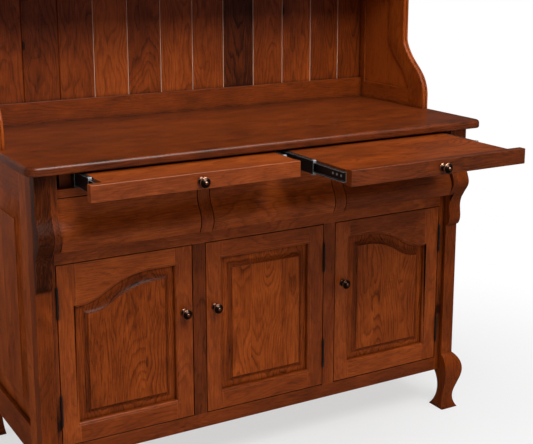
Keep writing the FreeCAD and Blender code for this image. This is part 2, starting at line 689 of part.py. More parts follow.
def drawer_supports():
    """Runners under the box sides with a guide strip on each, and one kicker over each drawer."""
    pieces = []
    top = DRAWER_ZONE_BOTTOM
    half_block = OGEE_BLOCK_W / 2
    guide = DRAWER_SIDE_GAP - GUIDE_GAP
    for side in (-1, 1):
        spans = (
            (STILE_X - half_block, STILE_X + half_block, RUNNER_W, RUNNER_W),
            (OPENING_HALF, CASE_INNER, RUNNER_W, 0),
        )
        for low, high, inner_ledge, outer_ledge in spans:
            pieces.append(between_posts(side * (low - inner_ledge), side * (high + outer_ledge),
                                        top - RUNNER_H, top))
            outer_guide = guide if outer_ledge else 0
            pieces.append(between_posts(side * (low - guide), side * (high + outer_guide),
                                        top, top + GUIDE_H))
    for name, x0, x1 in DRAWERS:
        middle = (x0 + x1) / 2
        pieces.append(block(middle - KICKER_W / 2, middle + KICKER_W / 2, FRAME_THICK, BACK_FRONT_Y,
                            DRAWER_ZONE_TOP, DRAWER_ZONE_TOP + KICKER_H))
    return pieces


# ---- pull-out trays and their telescopic slides ----
def slide_place(side):
    """For each slide of a tray: the cabinet-side plane and the direction towards the tray."""
    outer = TRAY_BOARD_END_X + SLIDE_THICK
    inner = TRAY_INNER_X - SLIDE_THICK
    return ((side * outer, -side), (side * inner, side))


def channel(x_web, x_lip, height, y0, y1):
    """A rolled steel channel: a web in the plane x_web with two lips reaching to x_lip."""
    towards = 1 if x_lip > x_web else -1
    half = height / 2
    outside = block(x_web, x_lip, y0, y1, SLIDE_Z - half, SLIDE_Z + half)
    inside = block(x_web + towards * SLIDE_SHEET, x_lip + towards, y0 - 1, y1 + 1,
                   SLIDE_Z - half + SLIDE_SHEET, SLIDE_Z + half - SLIDE_SHEET)
    return outside.cut(inside)


def cabinet_members():
    pieces = []
    for name, side, out in TRAY_BODIES:
        for x, towards in slide_place(side):
            pieces.append(channel(x, x + towards * SLIDE_LIP, CABINET_MEMBER_H,
                                  SLIDE_FRONT_Y, SLIDE_FRONT_Y + SLIDE_LENGTH))
    return pieces


def middle_members(side, out):
    """The sliding channel between cabinet and tray, with the ball cages that run above and below it."""
    pieces = []
    y0 = SLIDE_FRONT_Y - out * MIDDLE_SHARE
    y1 = y0 + SLIDE_LENGTH
    outer_gap = (CABINET_MEMBER_H - MIDDLE_MEMBER_H) / 2 - SLIDE_SHEET
    for x, towards in slide_place(side):
        web = x + towards * (SLIDE_SHEET + CAGE_FIT)
        pieces.append(channel(web, x + towards * (SLIDE_LIP + 1), MIDDLE_MEMBER_H, y0, y1))
        for up in (-1, 1):
            edge = SLIDE_Z + up * MIDDLE_MEMBER_H / 2
            cage_x = (x + towards * (SLIDE_SHEET + 2), x + towards * (SLIDE_LIP - 1))
            pieces.append(block(*cage_x, y0 + SLIDE_LENGTH - CAGE_LENGTH - 20, y0 + SLIDE_LENGTH - 20,
                                edge, edge + up * (outer_gap - CAGE_FIT)))
    return pieces


def tray_members(side, out):
    pieces = []
    y0 = SLIDE_FRONT_Y - out
    for x, towards in slide_place(side):
        tray_face = x + towards * SLIDE_THICK
        lip = x + towards * (2 * SLIDE_SHEET + 3 * CAGE_FIT)
        pieces.append(channel(tray_face, lip, TRAY_MEMBER_H, y0, y0 + SLIDE_LENGTH))
    return pieces


def tray_board(side, out):
    """The board with a rail under each side for the slides and a rail across its back."""
    y0 = TRAY_FRONT_THICK - TRAY_CLOSED_FACE - out
    y1 = y0 + TRAY_BOARD_DEPTH
    surface = TRAY_TOP - TRAY_LIP
    low = TRAY_TOP - TRAY_FRONT_H + TRAY_RAIL_CLEAR
    under = surface - TRAY_BOARD_THICK
    x_in = side * TRAY_INNER_X
    x_out = side * TRAY_BOARD_END_X
    width = side * TRAY_SIDE_RAIL_W
    return [
        block(x_in, x_out, y0, y1, under, surface),
        block(x_in, x_in + width, y0, y1, low, under),
        block(x_out - width, x_out, y0, y1, low, under),
        block(x_in + width, x_out - width, y1 - TRAY_SIDE_RAIL_W, y1, low, under),
    ]


def tray_front(side, out):
    y0 = -TRAY_CLOSED_FACE - out
    strip = block(side * TRAY_INNER_X, side * TRAY_FRONT_END_X, y0, y0 + TRAY_FRONT_THICK,
                  TRAY_TOP - TRAY_FRONT_H, TRAY_TOP)
    at_front = lambda e: between(e.CenterOfMass.y, y0, y0)
    return [rounded(strip, 2.0, at_front)]


def tray_fixings():
    """The upright between the two trays and the cleat beside each, to which the slides are screwed."""
    divider_half = TRAY_INNER_X - SLIDE_THICK
    divider = block(-divider_half, divider_half, SLIDE_FRONT_Y, BACK_FRONT_Y, TRAY_ZONE_BOTTOM, CASE_TOP)
    pieces = [divider]
    cleat_x = TRAY_BOARD_END_X + SLIDE_THICK
    for side in (-1, 1):
        front_part = block(side * cleat_x, side * (cleat_x + CLEAT_W), CLEAT_FRONT_Y, FRAME_THICK,
                           TRAY_ZONE_BOTTOM, CASE_TOP)
        long_part = between_posts(side * cleat_x, side * CASE_INNER, TRAY_ZONE_BOTTOM, CASE_TOP)
        pieces.append(front_part.fuse(long_part).removeSplitter())
    return pieces


# ---- case ends, floor, back and shelves ----
def end_frame(side):
    """The end between the posts: two stiles and two rails round a raised panel."""
    y0 = POST_BACK
    y1 = REAR_POST_FRONT
    inner = side * CASE_INNER
    outer = side * CASE_HALF
    low = LEG_HEIGHT
    groove_outer = CASE_HALF - PANEL_EDGE_SINK
    groove = block(side * (groove_outer - PANEL_TONGUE_THICK), side * groove_outer,
                   y0 + END_STILE_W - PANEL_TONGUE, y1 - END_STILE_W + PANEL_TONGUE,
                   low + END_BOTTOM_RAIL_H - PANEL_TONGUE, CASE_TOP - END_TOP_RAIL_H + PANEL_TONGUE)
    pieces = [
        block(inner, outer, y0, y0 + END_STILE_W, low, CASE_TOP),
        block(inner, outer, y1 - END_STILE_W, y1, low, CASE_TOP),
        block(inner, outer, y0 + END_STILE_W, y1 - END_STILE_W, low, low + END_BOTTOM_RAIL_H),
        block(inner, outer, y0 + END_STILE_W, y1 - END_STILE_W, CASE_TOP - END_TOP_RAIL_H, CASE_TOP),
    ]
    return [piece.cut(groove) for piece in pieces]


def end_panel(side):
    """The raised panel of one end, made like a door panel and turned to face outwards."""
    limits = (
        POST_BACK + END_STILE_W, REAR_POST_FRONT - END_STILE_W,
        LEG_HEIGHT + END_BOTTOM_RAIL_H, CASE_TOP - END_TOP_RAIL_H,
    )
    panel = raised_panel(limits, 0, 0.0, END_BEVEL)
    panel.rotate(Vector(0, 0, 0), Vector(0, 0, 1), 90)
    panel.translate(Vector(CASE_HALF, 0, 0))
    return sided(panel, side)


def case_inside():
    back_y = CASE_DEPTH - BACK_THICK
    floor_low = DOOR_ZONE_BOTTOM - FLOOR_THICK
    nodes = {}
    nodes["cabinet_floor"] = [between_posts(-CASE_INNER, CASE_INNER, floor_low, DOOR_ZONE_BOTTOM)]
    rail_heights = (
        (LEG_HEIGHT, DOOR_ZONE_BOTTOM), (DOOR_ZONE_TOP, DRAWER_ZONE_BOTTOM), (DRAWER_ZONE_TOP, CASE_TOP),
    )
    nodes["rear_rails"] = [
        block(-POST_INNER, POST_INNER, BACK_FRONT_Y, back_y, low, high) for low, high in rail_heights
    ]
    nodes["cabinet_back"] = [block(-POST_INNER, POST_INNER, back_y, CASE_DEPTH, LEG_HEIGHT, CASE_TOP)]
    partition_top = DRAWER_ZONE_BOTTOM - RUNNER_H
    nodes["partitions"] = [
        block(side * (STILE_X - PARTITION_THICK / 2), side * (STILE_X + PARTITION_THICK / 2),
              FRAME_THICK, BACK_FRONT_Y, DOOR_ZONE_BOTTOM, partition_top)
        for side in (-1, 1)
    ]
    nodes["cupboard_shelves"] = []
    nodes["shelf_pins"] = []
    wall = STILE_X + PARTITION_THICK / 2
    middle_wall = STILE_X - PARTITION_THICK / 2
    bays = ((-POST_INNER, -wall), (-middle_wall, middle_wall), (wall, POST_INNER))
    shelf_z = DOOR_ZONE_BOTTOM + SHELF_UP
    shelf_front = FRAME_THICK + SHELF_SETBACK
    shelf_back = BACK_FRONT_Y - SHELF_GAP
    for left, right in bays:
        nodes["cupboard_shelves"].append(block(left + SHELF_GAP, right - SHELF_GAP, shelf_front, shelf_back,
                                               shelf_z, shelf_z + SHELF_THICK))
    return nodes, bays, shelf_z, shelf_front, shelf_back


def shelf_pins(bays, shelf_z, shelf_front, shelf_back):
    """Four pins to each shelf, standing out of the partitions and of the cleats on the case ends."""
    pins = []
    for left, right in bays:
        for x, towards in ((left, 1), (right, -1)):
            for y in (shelf_front + SHELF_PIN_INSET, shelf_back - SHELF_PIN_INSET):
                pins.append(Part.makeCylinder(SHELF_PIN_R, SHELF_PIN_LEN,
                                              Vector(x, y, shelf_z - SHELF_PIN_R), Vector(towards, 0, 0)))
    return pins


def shelf_cleats(shelf_z):
    """Upright strips inside each case end, level with the posts, that hold the outer shelf pins."""
    pieces = []
    for side in (-1, 1):
        for y in (FRAME_THICK + SHELF_SETBACK + SHELF_PIN_INSET, BACK_FRONT_Y - SHELF_GAP - SHELF_PIN_INSET):
            pieces.append(block(side * POST_INNER, side * CASE_INNER, y - 12, y + 12,
                                DOOR_ZONE_BOTTOM, DRAWER_ZONE_BOTTOM - RUNNER_H))
    return pieces


def door_catches():
    """A small magnetic catch under the drawer rail behind the free edge of each door."""
    wide, deep, tall = CATCH_SIZE
    pieces = []
    for name, middle, side, low_side in DOORS:
        x = middle - side * (DOOR_W / 2 - 45)
        pieces.append(block(x - wide / 2, x + wide / 2, FRAME_THICK + 1, FRAME_THICK + 1 + deep,
                            DOOR_ZONE_TOP - tall, DOOR_ZONE_TOP))
    return pieces


# ---- hutch ----
def scroll_edge(x, offset):
    """The S-curved front of a hutch side, moved back by the offset."""
    z0 = BASE_HEIGHT + SCROLL_START
    z1 = BASE_HEIGHT + SCROLL_END
    low = HUTCH_FOOT_Y + offset
    high = HUTCH_UPPER_Y + offset
    span = z1 - z0
    reach = high - low
    points = [(x, low, z0)]
    points += [(x, low + back * reach, z0 + up * span) for back, up in SCROLL_SHAPE]
    points.append((x, high, z1))
    return curve(points, (0, 0, 1), (0, 0, 1))


def scroll_stile(x0, x1, front_offset, back_offset, z_top):
    """The S-curved stile between two offsets, from the worktop to the top."""
    z0 = BASE_HEIGHT + SCROLL_START
    z1 = BASE_HEIGHT + SCROLL_END
    edges = [scroll_edge(x0, front_offset), scroll_edge(x0, back_offset)]
    for offset in (front_offset, back_offset):
        low = HUTCH_FOOT_Y + offset
        high = HUTCH_UPPER_Y + offset
        edges.append(line((x0, low, BASE_HEIGHT), (x0, low, z0)))
        edges.append(line((x0, high, z1), (x0, high, z_top)))
    for y, z in ((HUTCH_FOOT_Y, BASE_HEIGHT), (HUTCH_UPPER_Y, z_top)):
        edges.append(line((x0, y + front_offset, z), (x0, y + back_offset, z)))
    return prism(edges, (x1 - x0, 0, 0))


def hutch_side():
    """The right-hand side: a scrolled front stile with a double bead, a rear stile and two rails."""
    x0 = HUTCH_INNER
    x1 = HUTCH_HALF
    stile = scroll_stile(x0, x1, 0.0, SCROLL_STILE_W, HUTCH_TOP_Z)
    middle = (x0 + x1) / 2
    stile = rounded(stile, SCROLL_BEAD_R, front_long_edge)
    groove = scroll_stile(middle - SCROLL_GROOVE / 2, middle + SCROLL_GROOVE / 2,
                          -1.0, SCROLL_GROOVE, HUTCH_TOP_Z + 1)
    stile = stile.cut(groove)
    rear = block(x0, x1, HUTCH_BACK_Y - HUTCH_REAR_STILE_W, HUTCH_BACK_Y, BASE_HEIGHT, HUTCH_TOP_Z)
    stile_back = scroll_stile(x0, x1, -AHEAD, SCROLL_STILE_W, HUTCH_TOP_Z)
    rail_spans = ((BASE_HEIGHT, HUTCH_SIDE_RAIL_H), (HUTCH_TOP_Z - HUTCH_TOP_RAIL_H, HUTCH_TOP_RAIL_H))
    rails = [
        block(x0, x1, HUTCH_FOOT_Y, HUTCH_BACK_Y - HUTCH_REAR_STILE_W, z, z + height).cut(stile_back)
        for z, height in rail_spans
    ]
    panel = side_panel()
    return [piece.cut(panel) for piece in [stile, rear] + rails], panel


def front_long_edge(edge):
    """True for the edges that run up the front of the scrolled stile."""
    box = edge.BoundBox
    if box.XLength > 0.01:
        return False
    z0 = BASE_HEIGHT + SCROLL_START
    z1 = BASE_HEIGHT + SCROLL_END
    if between(box.ZMin, BASE_HEIGHT, z0) and box.ZMax <= z0 + 0.01:
        return box.ZLength > 1 and between(box.YMax, HUTCH_FOOT_Y, HUTCH_FOOT_Y)
    if between(box.ZMin, z1, z1):
        return box.ZLength > 1 and between(box.YMax, HUTCH_UPPER_Y, HUTCH_UPPER_Y)
    return between(box.YMin, HUTCH_FOOT_Y, HUTCH_FOOT_Y) and box.YMax <= HUTCH_UPPER_Y + 1


def side_panel():
    """The flat panel of the right-hand side, let into the frame all round."""
    x0 = HUTCH_INNER + HUTCH_PANEL_SINK
    tongue = HUTCH_PANEL_TONGUE
    whole = block(x0, x0 + HUTCH_PANEL_THICK, HUTCH_FOOT_Y, HUTCH_BACK_Y - HUTCH_REAR_STILE_W + tongue,
                  BASE_HEIGHT + HUTCH_SIDE_RAIL_H - tongue, HUTCH_TOP_Z - HUTCH_TOP_RAIL_H + tongue)
    stile = scroll_stile(x0 - 1, x0 + HUTCH_PANEL_THICK + 1, -AHEAD, SCROLL_STILE_W - tongue, HUTCH_TOP_Z)
    return whole.cut(stile)


def hutch_planks():
    """Tongue-and-groove planks with a small V at each joint, from the bottom rail to the top."""
    low = BASE_HEIGHT + BACK_RAIL_H - BACK_RAIL_REBATE
    y0 = PLANK_FACE_Y
    y1 = PLANK_FACE_Y + PLANK_THICK
    joints = [-HUTCH_INNER]
    x = HUTCH_INNER - PLANK_OFFSET - PLANK_PITCH * math.ceil(2 * HUTCH_INNER / PLANK_PITCH)
    while x < HUTCH_INNER - PLANK_V * 4:
        if x > joints[-1] + PLANK_V * 4:
            joints.append(x)
        x += PLANK_PITCH
    joints.append(HUTCH_INNER)
    planks = []
    for left, right in zip(joints, joints[1:]):
        a = left + PLANK_GAP / 2
        b = right - PLANK_GAP / 2
        points = [
            (a, y0 + PLANK_V, low), (a + PLANK_V, y0, low), (b - PLANK_V, y0, low), (b, y0 + PLANK_V, low),
            (b, y1, low), (a, y1, low),
        ]
        edges = [line(p, q) for p, q in zip(points, points[1:] + points[:1])]
        planks.append(prism(edges, (0, 0, HUTCH_TOP_Z - low)))
    return planks


def hutch_bottom_rail():
    """The rail the planks stand in, proud of them at the front and rebated behind."""
    y0 = PLANK_FACE_Y - BACK_RAIL_PROUD
    top = BASE_HEIGHT + BACK_RAIL_H
    rail = block(-HUTCH_INNER, HUTCH_INNER, y0, HUTCH_BACK_Y, BASE_HEIGHT, top)
    rebate = block(-HUTCH_INNER - 1, HUTCH_INNER + 1, PLANK_FACE_Y, HUTCH_BACK_Y + 1,
                   top - BACK_RAIL_REBATE, top + 1)
    return [rail.cut(rebate)]


def hutch_shelves():
    y0 = HUTCH_UPPER_Y + HUTCH_SHELF_SETBACK
    shelves = []
    for up in HUTCH_SHELF_HEIGHTS:
        z = BASE_HEIGHT + up
        shelf = block(-HUTCH_INNER, HUTCH_INNER, y0, PLANK_FACE_Y, z, z + HUTCH_SHELF_THICK)
        shelf = rounded(shelf, 4.0, lambda e: runs_along(e, "x") and e.CenterOfMass.y < y0 + 1)
        groove_y = PLANK_FACE_Y - PLATE_GROOVE_FROM_BACK
        groove = block(-HUTCH_INNER - 1, HUTCH_INNER + 1, groove_y - PLATE_GROOVE_W, groove_y,
                       z + HUTCH_SHELF_THICK - PLATE_GROOVE_DEPTH, z + HUTCH_SHELF_THICK + 1)
        shelves.append(shelf.cut(groove))
    return shelves


def valance():
    """The rail under the crown, its lower edge a shallow arch between two level shoulders."""
    y = HUTCH_UPPER_Y + HUTCH_SHELF_SETBACK
    low = HUTCH_TOP_Z - VALANCE_H
    end = HUTCH_INNER
    shoulder = HUTCH_INNER - VALANCE_SHOULDER
    crest = Vector(0, y, low + VALANCE_ARCH)
    arch = Part.Arc(Vector(-shoulder, y, low), crest, Vector(shoulder, y, low)).toShape()
    edges = [
        arch,
        line((shoulder, y, low), (end, y, low)),
        line((end, y, low), (end, y, HUTCH_TOP_Z)),
        line((end, y, HUTCH_TOP_Z), (-end, y, HUTCH_TOP_Z)),
        line((-end, y, HUTCH_TOP_Z), (-end, y, low)),
        line((-end, y, low), (-shoulder, y, low)),
    ]
    return [prism(edges, (0, VALANCE_THICK, 0))]


def hutch_top():
    """The board over the hutch sides, flush with the outside of the case behind the crown."""
    top = HUTCH_TOP_Z + HUTCH_TOP_THICK
    return [block(-HUTCH_HALF, HUTCH_HALF, HUTCH_UPPER_Y, HUTCH_BACK_Y, HUTCH_TOP_Z, top)]


def crown_section(length):
    """The crown's section, standing up from the origin and reaching towards -Y, run along +X."""
    h = CROWN_H
    out = CROWN_OUT
    foot = CROWN_FOOT
    flat = CROWN_TOP_FLAT
    lip = -out + CROWN_LIP
    deep = -foot - CROWN_COVE_OUT * (out - foot - CROWN_LIP)
    halfway = foot + CROWN_COVE_UP * (h - foot - flat)
    cove = Part.Arc(Vector(0, -foot, foot), Vector(0, deep, halfway), Vector(0, lip, h - flat)).toShape()
    edges = [
        line((0, 0, 0), (0, -foot, 0)),
        line((0, -foot, 0), (0, -foot, foot)),
        cove,
        line((0, lip, h - flat), (0, -out, h - flat)),
        line((0, -out, h - flat), (0, -out, h)),
        line((0, -out, h), (0, 0, h)),
        line((0, 0, h), (0, 0, 0)),
    ]
    return prism(edges, (length, 0, 0))


def crown():
    """A front length and two returns, mitred at the corners."""
    front_y = HUTCH_UPPER_Y
    half = HUTCH_HALF
    reach = CROWN_OUT
    far = TOP_WIDTH
    front = crown_section(2 * (half + reach))
    front.translate(Vector(-half - reach, front_y, HUTCH_TOP_Z))
    depth = HUTCH_BACK_Y - front_y
    side = crown_section(depth + reach)
    side.rotate(Vector(0, 0, 0), Vector(0, 0, 1), 90)
    side.translate(Vector(half, front_y - reach, HUTCH_TOP_Z))
    corner = [
        (half, front_y, HUTCH_TOP_Z - 1), (half + far, front_y - far, HUTCH_TOP_Z - 1),
        (half - far, front_y - far, HUTCH_TOP_Z - 1), (half - far, front_y, HUTCH_TOP_Z - 1),
    ]
    edges = [line(a, b) for a, b in zip(corner, corner[1:] + corner[:1])]
    ahead = prism(edges, (0, 0, CROWN_H + 2))
    return [front.common(ahead).common(mirrored(ahead)), side.cut(ahead), mirrored(side.cut(ahead))]


# ---- the whole object ----
def build():
    nodes = {"worktop": [worktop()]}
    nodes["front_posts"] = [front_post(), mirrored(front_post())]
    nodes["corbels"] = [corbel(), mirrored(corbel())]
    nodes["rear_posts"] = [rear_post(), mirrored(rear_post())]
    nodes["ogee_blocks"] = ogee_blocks()
    nodes.update(face_frame())
    nodes["end_frames"] = end_frame(-1) + end_frame(1)
    nodes["end_panels"] = [end_panel(-1), end_panel(1)]
    inside, bays, shelf_z, shelf_front, shelf_back = case_inside()
    nodes.update(inside)
    nodes["shelf_pins"] = shelf_pins(bays, shelf_z, shelf_front, shelf_back)
    nodes["shelf_cleats"] = shelf_cleats(shelf_z)
    nodes["door_catches"] = door_catches()
    nodes["drawer_runners"] = drawer_supports()
    nodes["tray_cleats"] = tray_fixings()
    nodes["cabinet_slide_members"] = cabinet_members()

    leaves = []
    pins = []
    for name, middle, side, low_side in DOORS:
        nodes[name + "_door_frame"] = door_frame(middle, low_side)
        nodes[name + "_door_panel"] = door_panel(middle, low_side)
        knob_x = middle - side * (DOOR_W / 2 - KNOB_FROM_EDGE)
        nodes[name + "_door_knob"] = [knob(knob_x, 0, (DOOR_BOTTOM + DOOR_TOP) / 2 + KNOB_ABOVE_MIDDLE)]
        x = hinge_x(middle, side)
        nodes[name + "_door_hinge_leaves"] = [hinge_leaf(x, side, z, True) for z in hinge_heights()]
        leaves += [hinge_leaf(x, side, z, False) for z in hinge_heights()]
        pins += [hinge_pin(x, z) for z in hinge_heights()]
    nodes["frame_hinge_leaves"] = leaves
    nodes["hinge_pins"] = pins

    for name, x0, x1 in DRAWERS:
        nodes[name + "_drawer_front"] = drawer_front(x0, x1)
        nodes[name + "_drawer_box"] = drawer_box(x0, x1)

    for name, side, out in TRAY_BODIES:
        nodes[name + "_tray_board"] = tray_board(side, out)
        nodes[name + "_tray_front"] = tray_front(side, out)
        middle = side * (TRAY_INNER_X + TRAY_FRONT_END_X) / 2
        nodes[name + "_tray_knob"] = [knob(middle, -TRAY_CLOSED_FACE - out, TRAY_TOP - TRAY_FRONT_H / 2)]
        nodes[name + "_tray_slide_members"] = tray_members(side, out)
        nodes[name + "_middle_slide_members"] = middle_members(side, out)

    side_pieces, panel = hutch_side()
    nodes["hutch_side_frames"] = side_pieces + [mirrored(piece) for piece in side_pieces]
    nodes["hutch_side_panels"] = [panel, mirrored(panel)]
    nodes["hutch_planks"] = hutch_planks()
    nodes["hutch_bottom_rail"] = hutch_bottom_rail()
    nodes["hutch_shelves"] = hutch_shelves()
    nodes["hutch_valance"] = valance()
    nodes["hutch_top"] = hutch_top()
    nodes["crown_moulding"] = crown()
    return nodes


def main():
    os.makedirs("parts", exist_ok=True)
    for name, solids in build().items():
        shape = solids[0] if len(solids) == 1 else Part.makeCompound(solids)
        shape.translate(Vector(0, SHIFT_Y, 0))
        shape.exportStep("parts/%s.step" % name)


main()
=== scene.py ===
import functools
import json
import math
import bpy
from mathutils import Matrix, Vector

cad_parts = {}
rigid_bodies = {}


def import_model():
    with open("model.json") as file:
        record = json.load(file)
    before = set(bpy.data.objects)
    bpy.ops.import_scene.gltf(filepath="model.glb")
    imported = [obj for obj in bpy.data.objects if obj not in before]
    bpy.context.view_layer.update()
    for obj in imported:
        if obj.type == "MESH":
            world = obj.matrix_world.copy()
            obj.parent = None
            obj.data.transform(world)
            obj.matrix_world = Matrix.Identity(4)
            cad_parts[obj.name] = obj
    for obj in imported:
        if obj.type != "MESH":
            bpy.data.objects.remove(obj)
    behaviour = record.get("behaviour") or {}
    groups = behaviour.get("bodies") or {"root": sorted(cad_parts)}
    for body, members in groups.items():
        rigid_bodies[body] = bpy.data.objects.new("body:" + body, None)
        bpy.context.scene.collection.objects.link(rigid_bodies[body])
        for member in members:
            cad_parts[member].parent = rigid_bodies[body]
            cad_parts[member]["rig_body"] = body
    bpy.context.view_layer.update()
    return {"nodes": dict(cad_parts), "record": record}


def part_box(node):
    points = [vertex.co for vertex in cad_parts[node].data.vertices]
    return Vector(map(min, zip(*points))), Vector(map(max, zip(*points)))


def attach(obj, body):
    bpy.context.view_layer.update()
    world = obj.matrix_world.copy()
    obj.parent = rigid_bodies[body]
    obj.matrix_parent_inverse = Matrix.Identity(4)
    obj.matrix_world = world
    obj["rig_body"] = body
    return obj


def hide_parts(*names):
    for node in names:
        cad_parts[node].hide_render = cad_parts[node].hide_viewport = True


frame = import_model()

import zlib

import bmesh
import bpy
import numpy as np
from bpy.props import FloatProperty, FloatVectorProperty, IntProperty, PointerProperty
from bpy.types import Operator, Panel, PropertyGroup
from mathutils import Vector

bl_info = {
    "name": "Dresser with hutch",
    "version": (1, 0, 0),
    "blender": (4, 5, 0),
    "location": "View3D > Sidebar > Dresser",
    "description": "Finishes, hardware and stage for a cherry dresser with an open hutch",
    "category": "Object",
}

MM = 0.001
NODES = frame["nodes"]
AXES = np.eye(3)
DOOR_FACE_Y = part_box("drawer_rail")[0].y  # the plane of the doors, which hardware and camera start from
SLOT_OF = {row["node"]: row["material_slot"] for row in frame["record"]["subparts"]}


def linear(hex_colour):
    """An sRGB hex colour as linear red, green and blue."""
    value = [int(hex_colour[i:i + 2], 16) / 255 for i in (0, 2, 4)]
    return tuple(c / 12.92 if c <= 0.04045 else ((c + 0.055) / 1.055) ** 2.4 for c in value)


def colour_setting(name, description, hex_colour):
    """A colour that a user can change."""
    return FloatVectorProperty(name=name, description=description, subtype="COLOR", default=linear(hex_colour))


def number_setting(name, description, default, **settings):
    """A number that a user can change."""
    return FloatProperty(name=name, description=description, default=default, **settings)


length_setting = functools.partial(number_setting, unit="LENGTH")
power_setting = functools.partial(number_setting, unit="POWER")


# ---- sizes and colours that a user would change ----
class DresserWood(PropertyGroup):
    stain_light: colour_setting("Stain, light", "Earlywood under the cherry stain", "A84F18")
    stain_middle: colour_setting("Stain, middle", "Body colour of the stained cherry", "77320B")
    stain_dark: colour_setting("Stain, dark", "Latewood lines and blotches of the stained cherry", "2C1004")
    maple_light: colour_setting("Maple, light", "Clear lacquered maple of the drawer boxes", "D3B083")
    maple_dark: colour_setting("Maple, dark", "Growth lines in the clear lacquered maple", "A87C4C")
    # the pale tongues between the hutch's planks paint the highlights along the planks' edges
    bare_wood: colour_setting("Bare wood", "Unstained cherry of the tongues between the hutch's planks", "CFA58C")
    ring_spacing: length_setting(
        "Ring spacing", "Between growth rings, drawn coarser than cherry's 2 mm so that they show", 5.5 * MM)
    fibre_width: length_setting("Fibre width", "Width of streaks along the grain, drawn coarse to show", 2.2 * MM)
    blotch_size: length_setting("Blotch size", "Distance over which the stain takes unevenly", 70 * MM)
    stave_width: length_setting("Stave width", "Usual width of the staves in wide boards", 105 * MM)


class DresserMetal(PropertyGroup):
    bronze: colour_setting("Bronze", "Oil-rubbed bronze of the knobs", "46362E")
    # on the knobs' rims this copper also paints highlights
    copper: colour_setting("Copper", "Copper that shows where the knobs are rubbed", "E0A07C")
    black_steel: colour_setting("Black steel", "Black enamelled steel of the hinges", "1A1412")
    slide_steel: colour_setting("Slide steel", "Dark zinc of the slides' channels", "35302C")
    # on the slides' channels this pale colour also paints highlights along their edges
    zinc: colour_setting("Zinc", "Bright zinc of the slides' ball retainers, screws and rubbed edges", "94989A")


class DresserEdges(PropertyGroup):
    frame_ease: length_setting("Frame edges", "Rounding of the case's edges", 0.6 * MM)
    door_ease: length_setting("Door edges", "Rounding of door, drawer and tray edges", 1.1 * MM)
    joint_share: number_setting("Joints", "Share of the rounding where two boards meet", 0.2, subtype="FACTOR")
    segments: IntProperty(name="Segments", description="Facets across a rounded edge", default=2, min=1)


class DresserStage(PropertyGroup):
    eye: FloatVectorProperty(
        name="Eye", description="Camera place from the middle of the door face at the floor", unit="LENGTH",
        default=(-1.408, -2.4336, 1.4296))
    yaw: number_setting("Yaw", "Camera turn to the right", math.radians(30.05), unit="ROTATION")
    pitch: number_setting("Pitch", "Camera tilt downwards", math.radians(12.15), unit="ROTATION")
    lens: number_setting("Lens", "Focal length in mm on a 36 mm sensor", 72.16, unit="CAMERA")
    shift: number_setting("Shift", "Vertical shift that the framing needs", -0.099)
    floor: colour_setting("Floor", "Pale studio floor", "DCDCDC")
    ambient: number_setting("Ambient", "Strength of the even light from all round", 0.33)
    key_power: power_setting("Key softbox", "Power of the high softbox at the front left", 88.0)
    top_power: power_setting("Top softbox", "Power of the overhead softbox", 46.0)
    side_power: power_setting("Side softbox", "Power of the softbox beyond the left end", 14.0)


# ---- nodes and materials ----
def node(tree, kind, sockets=(), operation=None, **settings):
    """Adds a shader node with its operation and other settings.  Its sockets, by name or in order, each get a
    value, or a link from another node or socket."""
    made = tree.nodes.new("ShaderNode" + kind)
    if operation:
        made.operation = operation
    for name, value in settings.items():
        setattr(made, name, value)
    for key, value in sockets.items() if isinstance(sockets, dict) else enumerate(sockets):
        if isinstance(value, bpy.types.Node):
            value = value.outputs[0]
        if isinstance(value, bpy.types.NodeSocket):
            tree.links.new(value, made.inputs[key])
        else:
            made.inputs[key].default_value = value
    return made


def ramp_stops(ramp_node, stops):
    """Sets a colour ramp's stops, each a place and a colour or a grey."""
    elements = ramp_node.color_ramp.elements
    while len(elements) > 1:
        elements.remove(elements[-1])
    for index, (place, colour) in enumerate(stops):
        element = elements[0] if index == 0 else elements.new(place)
        element.position = place
        element.color = (*colour, 1.0) if hasattr(colour, "__len__") else (colour, colour, colour, 1.0)
    return ramp_node


def new_tree(name):
    """A material, the function that adds nodes to its emptied tree, and the place that patterns read."""
    material = bpy.data.materials.new(name)
    material.use_nodes = True
    material.node_tree.nodes.clear()
    add = functools.partial(node, material.node_tree)
    return material, add, add("TexCoord").outputs["Object"]


def close_tree(material, shader):
    """Gives a material its shader, and the material back."""
    node(material.node_tree, "OutputMaterial", (shader,))
    return material


def edge_wear(add, radius, unworn, bare):
    """How near a point lies to an edge, from 0 to 1, which marks both real wear and a painted highlight along
    edges.  It follows the cosine between the face and the same face with its edges rounded to a radius, from
    the cosine that is unworn to the one that is bare."""
    rounded = add("Bevel", {"Radius": radius}, samples=4)
    flat = add("NewGeometry").outputs["Normal"]
    cosine = add("VectorMath", (rounded, flat), "DOT_PRODUCT").outputs["Value"]
    return add("MapRange", (cosine, unworn, bare))


# The wood's figure.  Scales are in cycles per metre across a board, through it and along it; other sizes are in
# metres.
STAVE_SEED_STEP = 7.31  # sets the draws of neighbouring staves apart
STAVE_SHIFT = 0.37  # how far patterns move along a stave for each unit of its seed
HEART_PLACE = (-0.085, -0.024)  # deepest and shallowest heart of a stave, from its face
HEART_SLOPE = 0.08  # most that a heart rises for each metre along the stave
SWAY_SCALE = (9.0, 9.0, 3.4)  # slow bends of the rings, about 110 mm across and 290 mm along
SWAY_REACH = 0.018
RIPPLE_SCALE = (85.0, 85.0, 14.0)  # small ripples of the rings, about 12 mm across and 70 mm along
RIPPLE_REACH = 0.004
KNOT_SCALE = (7.0, 7.0, 3.4)  # cells that may hold a pin knot, about 140 mm across and 290 mm along
KNOT_CORE = (0.020, 0.062)  # in cells from a knot's middle, where its dark core starts and stops to fade
KNOT_HALO = 0.30  # in cells, how far the grain round a knot is darker and bent
KNOT_BEND = 0.022
POCKET_SCALE = (210.0, 210.0, 50.0)  # gum pockets, about 5 mm across and 20 mm along, coarse enough to show
POCKET_NOISE = (0.62, 0.78)  # values of the noise at which a pocket starts and is full
FIBRE_STRETCH = 30  # length of a streak for its width
